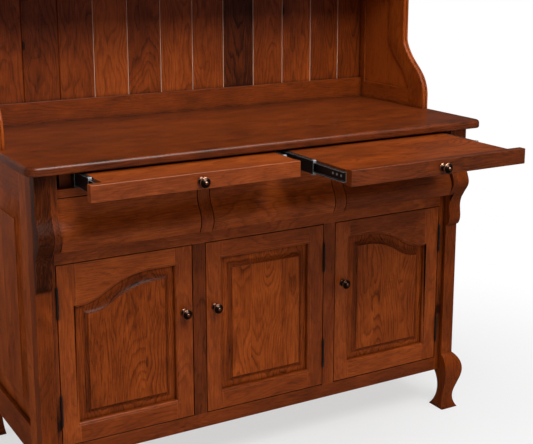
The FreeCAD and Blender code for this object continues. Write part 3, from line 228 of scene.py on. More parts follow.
BLOTCH_STRETCH = 2
RING_DARKNESS = ((0.0, 0.25), (0.08, 0.0), (0.55, 0.06), (0.80, 0.60), (0.92, 1.0), (1.0, 0.25))
FAINTEST_RING = 0.45
STAVE_TONE = 0.6  # how far staves of one board differ in tone


def wood_figure(add, place, wood):
    """The figure of sawn boards from their own attributes.  Each stave has a heart, a line along the grain at
    some depth below the face.  The growth rings are the distance to it, bent by slow noise, so that flat-sawn
    faces show nested arches and edges show straight lines.  Pin knots sit in the middles of a cell pattern
    stretched along the grain, and the rings bend round them.  Gives ring, fibre, blotch, gum pocket, knot core
    and halo, and a colour level that on some pieces also holds painted light and shade."""
    along, across, origin, traits = [
        add("Attribute", attribute_name=name).outputs["Vector"]
        for name in ("grain_along", "grain_across", "board_origin", "board_traits")]
    knotty, lines = [
        add("Attribute", attribute_name=name).outputs["Fac"] for name in ("board_knots", "board_lines")]
    stave, seed, tone = add("SeparateXYZ", (traits,)).outputs
    through = add("VectorMath", (along, across), "CROSS_PRODUCT")
    local = add("VectorMath", (place, origin), "SUBTRACT")
    u, v, w = [
        add("VectorMath", (local, axis), "DOT_PRODUCT").outputs["Value"]
        for axis in (across, through, along)]

    strip = add("Math", (u, stave), "DIVIDE")
    strip = add("Math", (strip,), "FLOOR")
    strip_seed = add("Math", (strip, STAVE_SEED_STEP, seed), "MULTIPLY_ADD")
    chance = add("TexWhiteNoise", {"W": strip_seed}, noise_dimensions="1D").outputs["Color"]
    draw = add("SeparateColor", (chance,)).outputs
    heart_u = add("Math", (strip, draw[0]), "ADD")
    heart_u = add("Math", (heart_u, stave), "MULTIPLY")
    heart_v = add("MapRange", (draw[1], 0.0, 1.0, *HEART_PLACE))
    slope = add("MapRange", (draw[2], 0.0, 1.0, -HEART_SLOPE, HEART_SLOPE))
    run = add("Math", (strip_seed, STAVE_SHIFT, w), "MULTIPLY_ADD")
    board = add("CombineXYZ", (u, v, run))

    fibres, blotches = 1.0 / wood.fibre_width, 1.0 / wood.blotch_size
    noises = []
    for scale, detail, roughness in (
            (SWAY_SCALE, 2.0, 0.45), (RIPPLE_SCALE, 2.0, 0.5), (POCKET_SCALE, 1.0, 0.5),
            ((fibres, fibres, fibres / FIBRE_STRETCH), 3.0, 0.62),
            ((blotches, blotches, blotches / BLOTCH_STRETCH), 6.0, 0.68)):
        scaled = add("VectorMath", (board, scale), "MULTIPLY")
        noises.append(add("TexNoise", {
            "Vector": scaled, "Scale": 1.0, "Detail": detail, "Roughness": roughness}))
    sway, ripple, pocket, fibre, blotch = noises
    sway = add("MapRange", (sway, 0.25, 0.75, -SWAY_REACH, SWAY_REACH), clamp=False)
    pocket = add("MapRange", (pocket, *POCKET_NOISE))

    cell_u, _, cell_w = add("SeparateXYZ", (
        add("VectorMath", (board, KNOT_SCALE), "MULTIPLY"),)).outputs
    cell = add("TexVoronoi", {
        "Vector": add("CombineXYZ", (cell_u, cell_w)), "Scale": 1.0},
        voronoi_dimensions="2D").outputs
    lot = add("SeparateColor", (cell["Color"],)).outputs[0]
    chosen = add("Math", (lot, knotty), "LESS_THAN")
    core = add("MapRange", (cell["Distance"], *KNOT_CORE, 1.0, 0.0), interpolation_type="SMOOTHSTEP")
    core = add("Math", (core, chosen), "MULTIPLY")
    halo = add("MapRange", (cell["Distance"], 0.0, KNOT_HALO, 1.0, 0.0), interpolation_type="SMOOTHERSTEP")
    halo = add("Math", (halo, chosen), "MULTIPLY")

    du = add("Math", (u, heart_u), "SUBTRACT")
    dv = add("Math", (v, heart_v), "SUBTRACT")
    dv = add("Math", (w, slope, dv), "MULTIPLY_ADD")
    from_heart = add("CombineXYZ", (du, dv))
    radius = add("VectorMath", (from_heart,), "LENGTH").outputs["Value"]
    for bend, reach in ((sway, 1.0), (halo, KNOT_BEND), (ripple, RIPPLE_REACH)):
        radius = add("Math", (bend, reach, radius), "MULTIPLY_ADD")
    phase = add("Math", (radius, wood.ring_spacing), "DIVIDE")
    year = add("Math", (phase,), "FLOOR")
    strength = add("TexWhiteNoise", {"W": year}, noise_dimensions="1D").outputs["Value"]
    strength = add("MapRange", (strength, 0.0, 1.0, FAINTEST_RING, 1.0))
    phase = add("Math", (phase,), "FRACT")
    ring = ramp_stops(add("ValToRGB", (phase,)), RING_DARKNESS)
    for share in (strength, lines):
        ring = add("Math", (ring, share), "MULTIPLY")

    # each stave's own tone, plus the board's tone, which on some pieces also paints light and shade
    own = add("MapRange", (draw[1], 0.0, 1.0, -0.5, 0.5))
    own = add("Math", (own, STAVE_TONE, tone), "MULTIPLY_ADD")
    return ring, fibre, blotch, pocket, core, halo, own


PLAIN_LEVEL = 0.62  # of plain wood, on the scale from dark at 0 to light at 1
STREAK = 0.17  # how far fibres move it
ROUTED_SLOPES = ((0.0, 0.0), (0.3, 1.0), (0.97, 1.0), (0.995, 0.0))  # painted shade on raised panels' slopes, by how squarely a face looks forwards


def wood_material(name, wood, colours, line_depth, blotch_depth, knot_depth, roughness):
    """Sawn wood: a body colour carried towards its dark and light ends by rings, fibres, blotches and a colour
    level that on some pieces also holds painted light and shade.  Painted shade darkens the corners between
    mouldings and, on boards that ask for it, the slopes of raised panels.  The edges are lightened, partly by
    handling that thins the stain and partly as a painted highlight, and the lacquer shines more there."""
    material, add, place = new_tree(name)
    ring, fibre, blotch, pocket, core, halo, tone = wood_figure(add, place, wood)
    streak = add("MapRange", (fibre, 0.3, 0.7, -STREAK, STREAK), clamp=False)
    # lighter, glossier edges: partly handling wear, partly a painted highlight
    worn = edge_wear(add, 2.0 * MM, 0.99, 0.90)
    # painted shade: darker where nearby surfaces hide the surroundings, in corners and recesses
    corner = add("AmbientOcclusion", {"Distance": 14 * MM}, samples=6).outputs["AO"]
    corner = add("MapRange", (corner, 0.35, 0.95, -0.34, 0.0))
    # painted shade on slopes that turn away from the front, on boards whose slope shading asks for it
    forwards = add("SeparateXYZ", (add("TexCoord").outputs["Normal"],)).outputs[1]
    forwards = add("Math", (forwards,), "ABSOLUTE")
    sloping = ramp_stops(add("ValToRGB", (forwards,)), ROUTED_SLOPES)
    bevels, sheen = [
        add("Attribute", attribute_name=name).outputs["Fac"] for name in ("board_bevels", "board_sheen")]
    routed = add("Math", (sloping, bevels), "MULTIPLY")

    level = add("MapRange", (blotch, 0.3, 0.7, PLAIN_LEVEL - blotch_depth, PLAIN_LEVEL + blotch_depth))
    for amount, change in (
            (ring, -line_depth),
            (streak, 1.0),
            (pocket, -0.20),
            (tone, 0.26),
            (halo, -0.22 * knot_depth),
            (core, -0.8 * knot_depth),
            (corner, 1.0),
            (worn, 0.36),
            (routed, -0.24)):
        level = add("Math", (amount, change, level), "MULTIPLY_ADD")
    dark, middle, light = colours
    body = ramp_stops(add("ValToRGB", (level,)), ((0.0, dark), (0.55, middle), (1.0, light)))

    rough = add("MapRange", (fibre, 0.2, 0.8, roughness - 0.04, roughness + 0.10))
    rough = add("Math", (worn, -0.05, rough), "MULTIPLY_ADD")
    grain = add("Math", (ring, -0.3, fibre), "MULTIPLY_ADD")
    bump = add("Bump", {"Height": grain, "Strength": 0.14, "Distance": 0.12 * MM})
    lacquer = add("Math", (worn, 0.15, 0.2), "MULTIPLY_ADD")
    lacquer = add("Math", (lacquer, sheen), "MULTIPLY")
    return close_tree(material, add("BsdfPrincipled", {
        "Base Color": body, "Roughness": rough, "Normal": bump, "Specular IOR Level": lacquer,
        "Coat Weight": lacquer, "Coat Roughness": 0.2}))


def stained_cherry(scene):
    """Knotty cherry, wiped with a reddish brown stain and sprayed with a satin lacquer: soft dark growth lines,
    uneven blotches, pin knots and short gum pockets under a low, slightly broken sheen."""
    wood = scene.dresser_wood
    return wood_material("stained_cherry", wood, (wood.stain_dark, wood.stain_middle, wood.stain_light),
                         line_depth=0.46, blotch_depth=0.17, knot_depth=0.8, roughness=0.36)


def lacquered_maple(scene):
    """Planed maple under clear lacquer, for drawer boxes and the insides: pale, with faint lines."""
    wood = scene.dresser_wood
    middle = tuple((a + b) / 2 for a, b in zip(wood.maple_light, wood.maple_dark))
    return wood_material("lacquered_maple", wood, (wood.maple_dark, middle, wood.maple_light),
                         line_depth=0.2, blotch_depth=0.14, knot_depth=0.2, roughness=0.42)


def bare_cherry(scene):
    """Planed cherry with no stain or lacquer, on the tongues in the joints between planks: pale, matt and
    crossed by fine fibres.  The pale tongues paint the highlights along the planks' edges."""
    wood = scene.dresser_wood
    dark = tuple(c * 0.6 for c in wood.bare_wood)
    return wood_material("bare_cherry", wood, (dark, wood.bare_wood, wood.bare_wood),
                         line_depth=0.1, blotch_depth=0.1, knot_depth=0.0, roughness=0.6)


# Patterns on metal, in cycles per metre
PATINA_SCALE = 380.0  # blotches of the patina, about 2.6 mm
PEEL_SCALE = 900.0  # orange peel of the enamel, about 1.1 mm
DUST_SCALE = 60.0  # uneven dust and wear on it, about 17 mm
ROLLING_SCALE = (1600.0, 60.0, 1600.0)  # rolling lines, about 0.6 mm apart, running front to back
CRYSTAL_SCALE = 260.0  # zinc crystals, about 4 mm


def rubbed_bronze(scene):
    """Cast bronze, turned, oil-darkened and rubbed: near black, with copper along its rims and on its middle
    button, partly where it is rubbed through and partly as a painted highlight on the rims.  How much copper
    shows is held along the turned profile, in an attribute."""
    metal = scene.dresser_metal
    material, add, place = new_tree("rubbed_bronze")
    rubbed = add("Attribute", attribute_name="rubbed").outputs["Fac"]
    patchy = add("TexNoise", {
        "Vector": place, "Scale": PATINA_SCALE, "Detail": 4.0, "Roughness": 0.6})
    worn = add("Math", (patchy, 0.5), "SUBTRACT")
    worn = add("Math", (worn, 1.1, rubbed), "MULTIPLY_ADD")
    colour = ramp_stops(add("ValToRGB", (worn,)), ((0.25, metal.bronze), (0.80, metal.copper)))
    rough = add("MapRange", (patchy, 0.3, 0.7, 0.24, 0.42))
    bump = add("Bump", {"Height": patchy, "Strength": 0.12, "Distance": 0.1 * MM})
    return close_tree(material, add("BsdfPrincipled", {
        "Base Color": colour, "Roughness": rough, "Normal": bump, "Metallic": 1.0}))


def enamelled_steel(scene):
    """Pressed steel under black baked enamel: an even dark gloss with a faint orange-peel texture."""
    enamel = scene.dresser_metal.black_steel
    material, add, place = new_tree("enamelled_steel")
    peel = add("TexNoise", {"Vector": place, "Scale": PEEL_SCALE, "Detail": 2.0})
    dust = add("TexNoise", {"Vector": place, "Scale": DUST_SCALE, "Detail": 3.0})
    pale = tuple(c * 2.2 for c in enamel)
    colour = ramp_stops(add("ValToRGB", (dust,)), ((0.35, enamel), (0.85, pale)))
    rough = add("MapRange", (dust, 0.0, 1.0, 0.28, 0.48))
    bump = add("Bump", {"Height": peel, "Strength": 0.2, "Distance": 0.05 * MM})
    return close_tree(material, add("BsdfPrincipled", {
        "Base Color": colour, "Roughness": rough, "Normal": bump}))


def rolled_zinc(name, colour, edge_colour, roughness, metal_share):
    """Cold-rolled steel with a zinc finish: fine lines along the rolling direction, cloudy crystal patches that
    break the shine, and pale sheared edges, partly rubbed bright and partly a painted highlight."""
    material, add, place = new_tree(name)
    lines = add("VectorMath", (place, ROLLING_SCALE), "MULTIPLY")
    lines = add("TexNoise", {"Vector": lines, "Scale": 1.0, "Detail": 2.0})
    cloud = add("TexVoronoi", {"Vector": place, "Scale": CRYSTAL_SCALE}, feature="SMOOTH_F1")
    pale = tuple(min(1.0, c * 1.35) for c in colour)
    tint = ramp_stops(add("ValToRGB", (cloud.outputs["Distance"],)), ((0.1, colour), (0.8, pale)))
    # pale edges: partly wear, partly a painted highlight
    edge = edge_wear(add, 1.8 * MM, 0.985, 0.86)
    # a colour mix has its factor in socket 0, its colours in 6 and 7, and its result in output 2
    tint = add("Mix", {0: edge, 6: tint, 7: (*edge_colour, 1.0)}, data_type="RGBA").outputs[2]
    metallic = add("MapRange", (edge, 0.0, 1.0, metal_share, 0.25))
    rough = add("MapRange", (lines, 0.0, 1.0, roughness, roughness + 0.22))
    bump = add("Bump", {"Height": lines, "Strength": 0.1, "Distance": 0.04 * MM})
    return close_tree(material, add("BsdfPrincipled", {
        "Base Color": tint, "Roughness": rough, "Normal": bump, "Metallic": metallic}))


def dark_rolled_zinc(scene):
    """The slides' channels: zinc darkened by grease, with thin bright edges."""
    metal = scene.dresser_metal
    return rolled_zinc("dark_rolled_zinc", metal.slide_steel, metal.zinc, roughness=0.30, metal_share=0.8)


def bright_rolled_zinc(scene):
    """The slides' ball retainers and screws: clean zinc, pale all over."""
    metal = scene.dresser_metal
    return rolled_zinc("bright_rolled_zinc", metal.zinc, metal.zinc, roughness=0.38, metal_share=0.6)


# What each slot of the record is made of, and two finishes for pieces that are only made here.  A material has
# the name of its function.
FINISHES = {
    "stained_wood": stained_cherry,
    "inner_wood": lacquered_maple,
    "bare_wood": bare_cherry,
    "dark_bronze": rubbed_bronze,
    "black_steel": enamelled_steel,
    "zinc_steel": dark_rolled_zinc,
    "bright_zinc": bright_rolled_zinc,
}


def finish_for(slot_name):
    """The material that stands for a slot, made the first time it is needed."""
    make = FINISHES[slot_name]
    return bpy.data.materials.get(make.__name__) or make(bpy.context.scene)


# ---- meshes ----
SHARP_TURN = math.radians(33)  # edges that turn more are eased, and faces shade apart across them
FLAT_TURN = math.radians(0.05)  # faces that turn less are joined to one
GRID = 1e5  # corners in one hundredth of a millimetre are one corner of a shell
FINE_GRID = 1e6  # corners in one thousandth of a millimetre are welded
BOARD_MARGIN = 0.02 * MM  # keeps a board's own first edge inside its first stave
STAVE_MARGIN = 0.05 * MM  # keeps its last edge from starting another
JOINT_REACH = 0.15 * MM  # boards this near to each other meet


def read_rows(rows, key, width, kind=np.int32):
    """One property of every vertex, edge, corner or attribute value, as rows of a width."""
    values = np.empty(len(rows) * len(np.atleast_1d(getattr(rows[0], key))), kind)
    rows.foreach_get(key, values)
    return values.reshape(-1, width)


def read_mesh(mesh):
    """A mesh of triangles as its corners' places and each triangle's three corners."""
    return read_rows(mesh.vertices, "co", 3, np.float32).astype(float), read_rows(mesh.loops, "vertex_index", 3)


def board_labels(places, triangles):
    """Which board each triangle belongs to.  The boards follow each other, and each is a closed shell, so every
    edge is walked once each way: a scrambled number for each edge is added one way and taken away the other, so
    the running sum is nothing only where a board ends."""
    spots, spot_of = np.unique(np.round(places * GRID).astype(np.int64), axis=0, return_inverse=True)
    start = spot_of.reshape(-1)[triangles]
    end = np.roll(start, -1, axis=1)
    code = (np.minimum(start, end) * len(spots) + np.maximum(start, end)).astype(np.uint64)
    for multiplier, shift in ((0x9E3779B97F4A7C15, 29), (0xBF58476D1CE4E5B9, 32)):
        code *= np.uint64(multiplier)
        code ^= code >> np.uint64(shift)
    signed = np.where(start < end, code, ~code + np.uint64(1))
    signed[start == end] = 0
    closed = np.cumsum(signed.sum(axis=1, dtype=np.uint64), dtype=np.uint64) == 0
    if not closed[-1]:
        raise RuntimeError("a CAD mesh isn't closed, so its boards can't be told apart")
    return np.concatenate(([0], np.cumsum(closed)[:-1]))


def board_boxes(places, triangles):
    """Which board each triangle belongs to, and the lowest and highest corner of each board."""
    labels = board_labels(places, triangles)
    low = np.full((labels[-1] + 1, 3), np.inf)
    high = -low
    owners, corners = np.repeat(labels, 3), places[triangles.reshape(-1)]
    np.minimum.at(low, owners, corners)
    np.maximum.at(high, owners, corners)
    return labels, low, high


def set_attribute(mesh, name, values, domain="POINT"):
    """Puts one number or one vector on each vertex, or on each edge."""
    values = np.asarray(values, np.float32)
    kind, key = ("FLOAT", "value") if values.ndim == 1 else ("FLOAT_VECTOR", "vector")
    mesh.attributes.new(name, kind, domain).data.foreach_set(key, values.reshape(-1))


def new_object(name, data):
    """Puts a mesh, a lamp or a camera into the scene."""
    thing = bpy.data.objects.new(name, data)
    bpy.context.scene.collection.objects.link(thing)
    return thing


def new_piece(name, mesh, node_name, own_finish=None):
    """Puts a finished mesh into the scene, on the body and in the slot of a node.  It replaces the node, unless
    it is a detail with a finish of its own."""
    piece = new_object(name, mesh)
    mesh.materials.append(finish_for(own_finish or SLOT_OF[node_name]))
    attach(piece, NODES[node_name]["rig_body"])
    if not own_finish:
        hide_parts(node_name)
    return piece


ALL_BOARDS = {}  # body -> lowest and highest corners of every wooden board on it


def gather_boards():
    """Reads every wooden CAD node once, and keeps where its boards are, so that joints can be found."""
    found = {}
    for name, thing in NODES.items():
        if SLOT_OF[name] in ("stained_wood", "inner_wood"):
            found.setdefault(thing["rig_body"], []).append(board_boxes(*read_mesh(thing.data))[1:])
    for body, boxes in found.items():
        ALL_BOARDS[body] = [np.concatenate(corners) for corners in zip(*boxes)]


def joint_mask(points, own_low, own_high, body):
    """True for each point that lies in or on another board of the same body, where two boards meet."""
    low, high = ALL_BOARDS[body]
    inside = np.all((points[:, None] >= low - JOINT_REACH) & (points[:, None] <= high + JOINT_REACH), axis=2)
    itself = np.all(np.abs(own_low[:, None] - low) + np.abs(own_high[:, None] - high) < 1 / FINE_GRID, axis=2)
    return np.any(inside & ~itself, axis=1)


def eased_boards(name, ease=None, grain=None, knots=0.06, spread=0.35, staves=True, lines=0.5, shade=0.0,
                 sheen=1.0, bevels=0.0, shape=None):
    """A wooden node's boards as a new piece: merged, flat faces joined, edges marked for a small rounding, and
    each board given its own grain, staves, colour and place.  Grain is the axis that it runs along, or None for
    each board's longest side; knots, the share of cells with a knot; spread, how far boards differ in colour;
    shade, the colour level of all or of each in turn, lighter above 0, which also paints light and shade on
    whole pieces; lines, sheen and slope shading, the strength of rings, lacquer and painted shade on the slopes
    of raised panels; shape, corners and triangles in place of the node's own."""
    source = NODES[name]
    edges, wood = bpy.context.scene.dresser_edges, bpy.context.scene.dresser_wood
    places, triangles = shape or read_mesh(source.data)
    labels, low, high = board_boxes(places, triangles)
    corners = places[triangles.reshape(-1)]
    keys = np.column_stack((np.repeat(labels, 3), np.round(corners * FINE_GRID).astype(np.int64)))
    keys, first, faces = np.unique(keys, axis=0, return_index=True, return_inverse=True)
    faces = faces.reshape(-1, 3)
    whole = np.all(faces != np.roll(faces, 1, axis=1), axis=1)
    mesh = bpy.data.meshes.new(name + "_boards")
    mesh.from_pydata(corners[first].tolist(), [], faces[whole].tolist())
    mesh.attributes.new("board", "INT", "POINT").data.foreach_set("value", keys[:, 0].astype(np.int32))

    work = bmesh.new()
    work.from_mesh(mesh)
    bmesh.ops.dissolve_limit(work, angle_limit=FLAT_TURN, verts=work.verts, edges=work.edges)
    work.normal_update()
    turn = np.array([edge.calc_face_angle(0.0) for edge in work.edges])
    work.to_mesh(mesh)
    work.free()

    boards, count = len(low), len(mesh.vertices)
    owner = read_rows(mesh.attributes["board"].data, "value", 1)[:, 0]
    size = high - low
    _, wide_axis, long_axis = np.argsort(size, axis=1).T
    if grain is not None:
        long_axis = np.full(boards, grain)
        size[:, grain] = 0.0
        wide_axis = np.argmax(size, axis=1)
    width = size[np.arange(boards), wide_axis]
    strips = np.maximum(1, np.round(width / wood.stave_width)) if staves else np.ones(boards)
    draws = np.random.default_rng(zlib.crc32(name.encode()))
    seeds = draws.uniform(3.0, 90.0, boards)
    tones = shade + draws.normal(0.0, spread, boards)
    traits = np.column_stack((width / strips + STAVE_MARGIN, seeds, tones))
    for key, values in (("grain_along", AXES[long_axis]), ("grain_across", AXES[wide_axis]),
                        ("board_origin", low - BOARD_MARGIN), ("board_traits", traits)):
        set_attribute(mesh, key, values[owner])
    for key, value in (("board_knots", knots), ("board_lines", lines), ("board_sheen", sheen),
                       ("board_bevels", bevels)):
        set_attribute(mesh, key, np.full(count, value))

    ends = read_rows(mesh.edges, "vertices", 2)
    middles = read_rows(mesh.vertices, "co", 3, np.float32)[ends].mean(axis=1)
    owners = owner[ends[:, 0]]
    joint = joint_mask(middles, low[owners], high[owners], source["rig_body"])
    weight = np.where(turn > SHARP_TURN, np.where(joint, edges.joint_share, 1.0), 0.0)
    set_attribute(mesh, "bevel_weight_edge", weight, "EDGE")
    mesh.shade_smooth()
    mesh.set_sharp_from_angle(angle=SHARP_TURN)

    bevel = new_piece(name + "_eased", mesh, name).modifiers.new("eased", "BEVEL")
    bevel.limit_method = "WEIGHT"
    bevel.width = ease or edges.frame_ease
    bevel.segments = edges.segments
    bevel.use_clamp_overlap = False
    bevel.harden_normals = True


def ring_walls(rows, steps):
    """Four-cornered faces between neighbouring rows of points, each row a closed ring of that many steps."""
    here = np.arange(rows * steps).reshape(rows, steps)
    after = np.roll(here, -1, axis=1)
    return here, after, np.stack((here[:-1], after[:-1], after[1:], here[1:]), axis=2).reshape(-1, 4).tolist()


def turned_shape(profile, steps):
    """A profile of radius and height turned about +Z: point (i, j) is radius i at angle 2 pi j / steps, at height
    i.  The first and last radius are nothing, so each end is one point closed by a fan."""
    radius, height = np.asarray(profile, float).T[:, :, None]
    angle = np.arange(steps) * 2 * np.pi / steps
    rings = np.stack(np.broadcast_arrays(radius * np.cos(angle), radius * np.sin(angle), height), axis=2)
    points = np.concatenate((rings[1:-1].reshape(-1, 3), rings[[0, -1], 0]))
    rows = len(rings) - 2
    here, after, walls = ring_walls(rows, steps)
    low = np.stack((np.full(steps, rows * steps), after[0], here[0]), axis=1)
    high = np.stack((np.full(steps, rows * steps + 1), here[-1], after[-1]), axis=1)
    share = np.concatenate((np.repeat(np.arange(1, rows + 1), steps), [0, rows + 1]))
    return points, walls + low.tolist() + high.tolist(), share


def aim(points, towards, centre):
    """Turns points made about +Z so that +Z looks along towards, and puts them at centre."""
    turn = np.array(Vector((0, 0, 1)).rotation_difference(Vector(towards)).to_matrix())
    return points @ turn.T + np.asarray(centre, float)


def mesh_of(name, points, faces, smooth=math.radians(35)):
    """A mesh of points and faces, shaded smooth where they turn less than an angle."""
    mesh = bpy.data.meshes.new(name)
    mesh.from_pydata(points.tolist(), [], faces)
    mesh.validate()
    mesh.shade_smooth()
    mesh.set_sharp_from_angle(angle=smooth)
    return mesh


# ---- knobs ----
KNOB_FACETS = 48
KNOB_TURN = math.radians(50)  # faces of the profile that turn less shade as one curve
# radius, height above the face in mm, and how much copper shows there: patina rubbed off, and on the rims also a
# painted highlight
KNOB_PROFILE = (
    (0.0, 0.0, 0.0), (9.9, 0.0, 0.0), (10.5, 0.5, 0.6), (10.5, 1.6, 0.85), (10.1, 2.5, 0.7), (9.0, 3.3, 0.3),
    (7.8, 4.3, 0.1), (6.4, 5.4, 0.05), (5.3, 7.2, 0.0), (4.7, 9.2, 0.0), (4.6, 11.2, 0.0), (4.9, 13.4, 0.0),
    (5.8, 15.6, 0.05), (7.2, 17.0, 0.1), (9.4, 17.7, 0.1), (11.8, 18.2, 0.15), (13.0, 18.9, 0.6),
    (13.8, 20.0, 0.85), (14.0, 20.9, 1.0), (13.8, 21.8, 0.9), (13.1, 22.8, 0.7), (12.4, 23.2, 0.2),
    (11.9, 23.1, 0.0), (11.3, 23.6, 0.15), (10.0, 24.9, 0.1), (8.2, 26.2, 0.05), (6.2, 27.3, 0.0),
    (5.3, 27.7, 0.0), (4.6, 27.9, 0.1), (4.2, 28.4, 0.6), (4.0, 29.1, 0.9), (3.1, 29.9, 1.0), (1.6, 30.3, 1.0),
    (0.0, 30.4, 1.0),
)


class DRESSER_OT_knobs(Operator):
    """Turned knobs: a profile of rose, hollow neck, rimmed head and button, carried round an axis"""
    bl_idname = "dresser.knobs"
    bl_label = "Knobs"

    def execute(self, context):
        profile = np.array(KNOB_PROFILE)
        points, faces, share = turned_shape(profile[:, :2] * MM, KNOB_FACETS)
        for place in ("left_door", "middle_door", "right_door", "left_tray", "right_tray"):
            name = place + "_knob"
            low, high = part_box(name)
            centre = ((low.x + high.x) / 2, high.y, (low.z + high.z) / 2)
            mesh = mesh_of(name + "_turned", aim(points, (0, -1, 0), centre), faces, KNOB_TURN)
            # how much copper shows: rubbed through, and on the rims a painted highlight
            set_attribute(mesh, "rubbed", profile[share, 2])
            new_piece(name + "_turned", mesh, name)
        return {"FINISHED"}


# ---- wooden pieces ----
ACROSS, UP = 0, 2  # axes that grain runs along
POST_EASE = 1.5 * MM
WORKTOP_EASE = 0.8 * MM
SCROLL_EASE = 1.2 * MM  # of the hutch's side frames
# tone of each hutch plank from left to right, added to its own; one plank is a dark heartwood board
PLANK_SHADES = (0.0, 0.2, -0.2, 0.0, 0.7, 0.5, 0.6, 0.5, -1.6, 0.4, 0.1, -0.1, 0.0)
DARK_PLANK_RIGHT = 249.4 * MM  # right-hand edge of the dark plank, which the other joints are counted from
PLANK_PITCH = 106.6 * MM
PLANK_V = 2.5 * MM  # depth and half width of the V between two planks
PLANK_GAP = 0.4 * MM
FIRST_BARE_JOINT = -300 * MM  # joints further left get no painted highlight
TONGUE_WIDTH = 2.4 * MM
TONGUE_DEPTH = 2.3 * MM  # of the tongue's root behind the planks' face
TONGUE_FACETS = 6
TONGUE_TRAITS = (0.1, 5.0, 0.0)  # stave width in metres, seed and tone of their figure
TONGUE_SETBACK = 1 * MM  # of its ends from the planks' ends


class DRESSER_OT_case(Operator):
    """The case's boards, with eased edges: posts, rails, stiles, ends, corbels, worktop and tray cleats"""
    bl_idname = "dresser.case"
    bl_label = "Case"

    def execute(self, context):
        # the shade values below set each piece's tone and also paint light and shade on it: the corbels, the end
        # ogee blocks, the posts and the worktop are darkened as painted shade
        for name, shade in (
                ("front_stiles", (-0.6, -1.1, -0.6, -0.3)), ("tray_rail", 0.0), ("drawer_rail", 0.6),
                ("bottom_rail", -0.6), ("tray_cleats", -0.4), ("ogee_blocks", (-1.2, 0.0, -1.0, 0.0))):
            eased_boards(name, spread=0.25, shade=shade, sheen=0.6)
        for name, shade in (("front_posts", -0.6), ("rear_posts", -0.3), ("corbels", (-1.1, -1.9))):
            eased_boards(name, POST_EASE, grain=UP, spread=0.15, staves=False, shade=shade, sheen=0.35)
        eased_boards("end_frames", sheen=0.3)
        # the end panels' slopes get half the painted shade of the door panels' slopes
        eased_boards("end_panels", grain=UP, sheen=0.3, bevels=0.5)
        eased_boards("worktop", WORKTOP_EASE, grain=ACROSS, knots=0.0, shade=-1.4, sheen=1.3)
        return {"FINISHED"}


class DRESSER_OT_doors(Operator):
    """Door frames and raised panels, each stile and rail with its own grain"""
    bl_idname = "dresser.doors"
    bl_label = "Doors"

    def execute(self, context):
        ease = context.scene.dresser_edges.door_ease
        for side in ("left", "middle", "right"):
            eased_boards(side + "_door_frame", ease, spread=0.2, knots=0.0, shade=0.2, sheen=0.6)
            # the panels' raised slopes get painted shade
            eased_boards(side + "_door_panel", grain=UP, knots=0.0, lines=1.0, shade=0.15, sheen=0.35, bevels=1.0)
        return {"FINISHED"}


class DRESSER_OT_drawers(Operator):
    """Ogee drawer fronts with the grain across, and maple drawer boxes"""
    bl_idname = "dresser.drawers"
    bl_label = "Drawers"

    def execute(self, context):
        ease = context.scene.dresser_edges.door_ease
        # the shade values also paint light: the right drawer front is darkened as painted shade under the right
        # tray
        for side, shade in (("left", 0.0), ("middle", 0.6), ("right", -0.5)):
            eased_boards(side + "_drawer_front", ease, grain=ACROSS, spread=0.1, staves=False, shade=shade,
                         sheen=0.5)
            eased_boards(side + "_drawer_box")
        return {"FINISHED"}


class DRESSER_OT_trays(Operator):
    """Pull-out tray boards and their front strips"""
    bl_idname = "dresser.trays"
    bl_label = "Trays"

    def execute(self, context):
        ease = context.scene.dresser_edges.door_ease
        # these shade values are partly painted light and shade: the right tray is darkened against the left one
        for side, shade, board_shade in (("left", -0.1, 0.3), ("right", -1.1, -0.2)):
            eased_boards(side + "_tray_front", ease, grain=ACROSS, spread=0.1, knots=0.0, staves=False,
                         shade=shade, sheen=1.5)
            eased_boards(side + "_tray_board", grain=ACROSS, spread=0.1, knots=0.0, shade=board_shade, lines=0.8)
        return {"FINISHED"}


def plank_joints():
    """Both ends of the wall of planks and every joint between them, a plank's pitch apart."""
    low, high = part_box("hutch_planks")
    first = DARK_PLANK_RIGHT - PLANK_PITCH * math.floor((DARK_PLANK_RIGHT - low.x) / PLANK_PITCH)
    return np.array([low.x, *np.arange(first, high.x, PLANK_PITCH), high.x])


def plank_shapes(joints):
    """Each plank's level outline is a board with its two front corners cut at 45 degrees by the V, carried
    straight up from the rail to the top."""
    low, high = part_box("hutch_planks")
    a, b = joints[:-1] + PLANK_GAP / 2, joints[1:] - PLANK_GAP / 2
    x = np.stack((a, a + PLANK_V, b - PLANK_V, b, b, a), axis=1)
    y = np.array([low.y + PLANK_V, low.y, low.y, low.y + PLANK_V, high.y, high.y])
    z = np.array([low.z, high.z])
    points = np.stack(np.broadcast_arrays(x[:, None, :], y, z[None, :, None]), axis=3).reshape(-1, 3)
    corners = len(y)
    here = np.arange(corners)
    after = np.roll(here, -1)
    walls = np.stack((here, after, after + corners, here, after + corners, here + corners), axis=1)
    fan = np.stack((np.zeros(corners - 2, int), here[1:-1], here[2:]), axis=1)
    triangles = np.concatenate((walls.reshape(-1, 3), fan[:, ::-1], fan + corners))
    return points, (triangles + 2 * corners * np.arange(len(a))[:, None, None]).reshape(-1, 3)


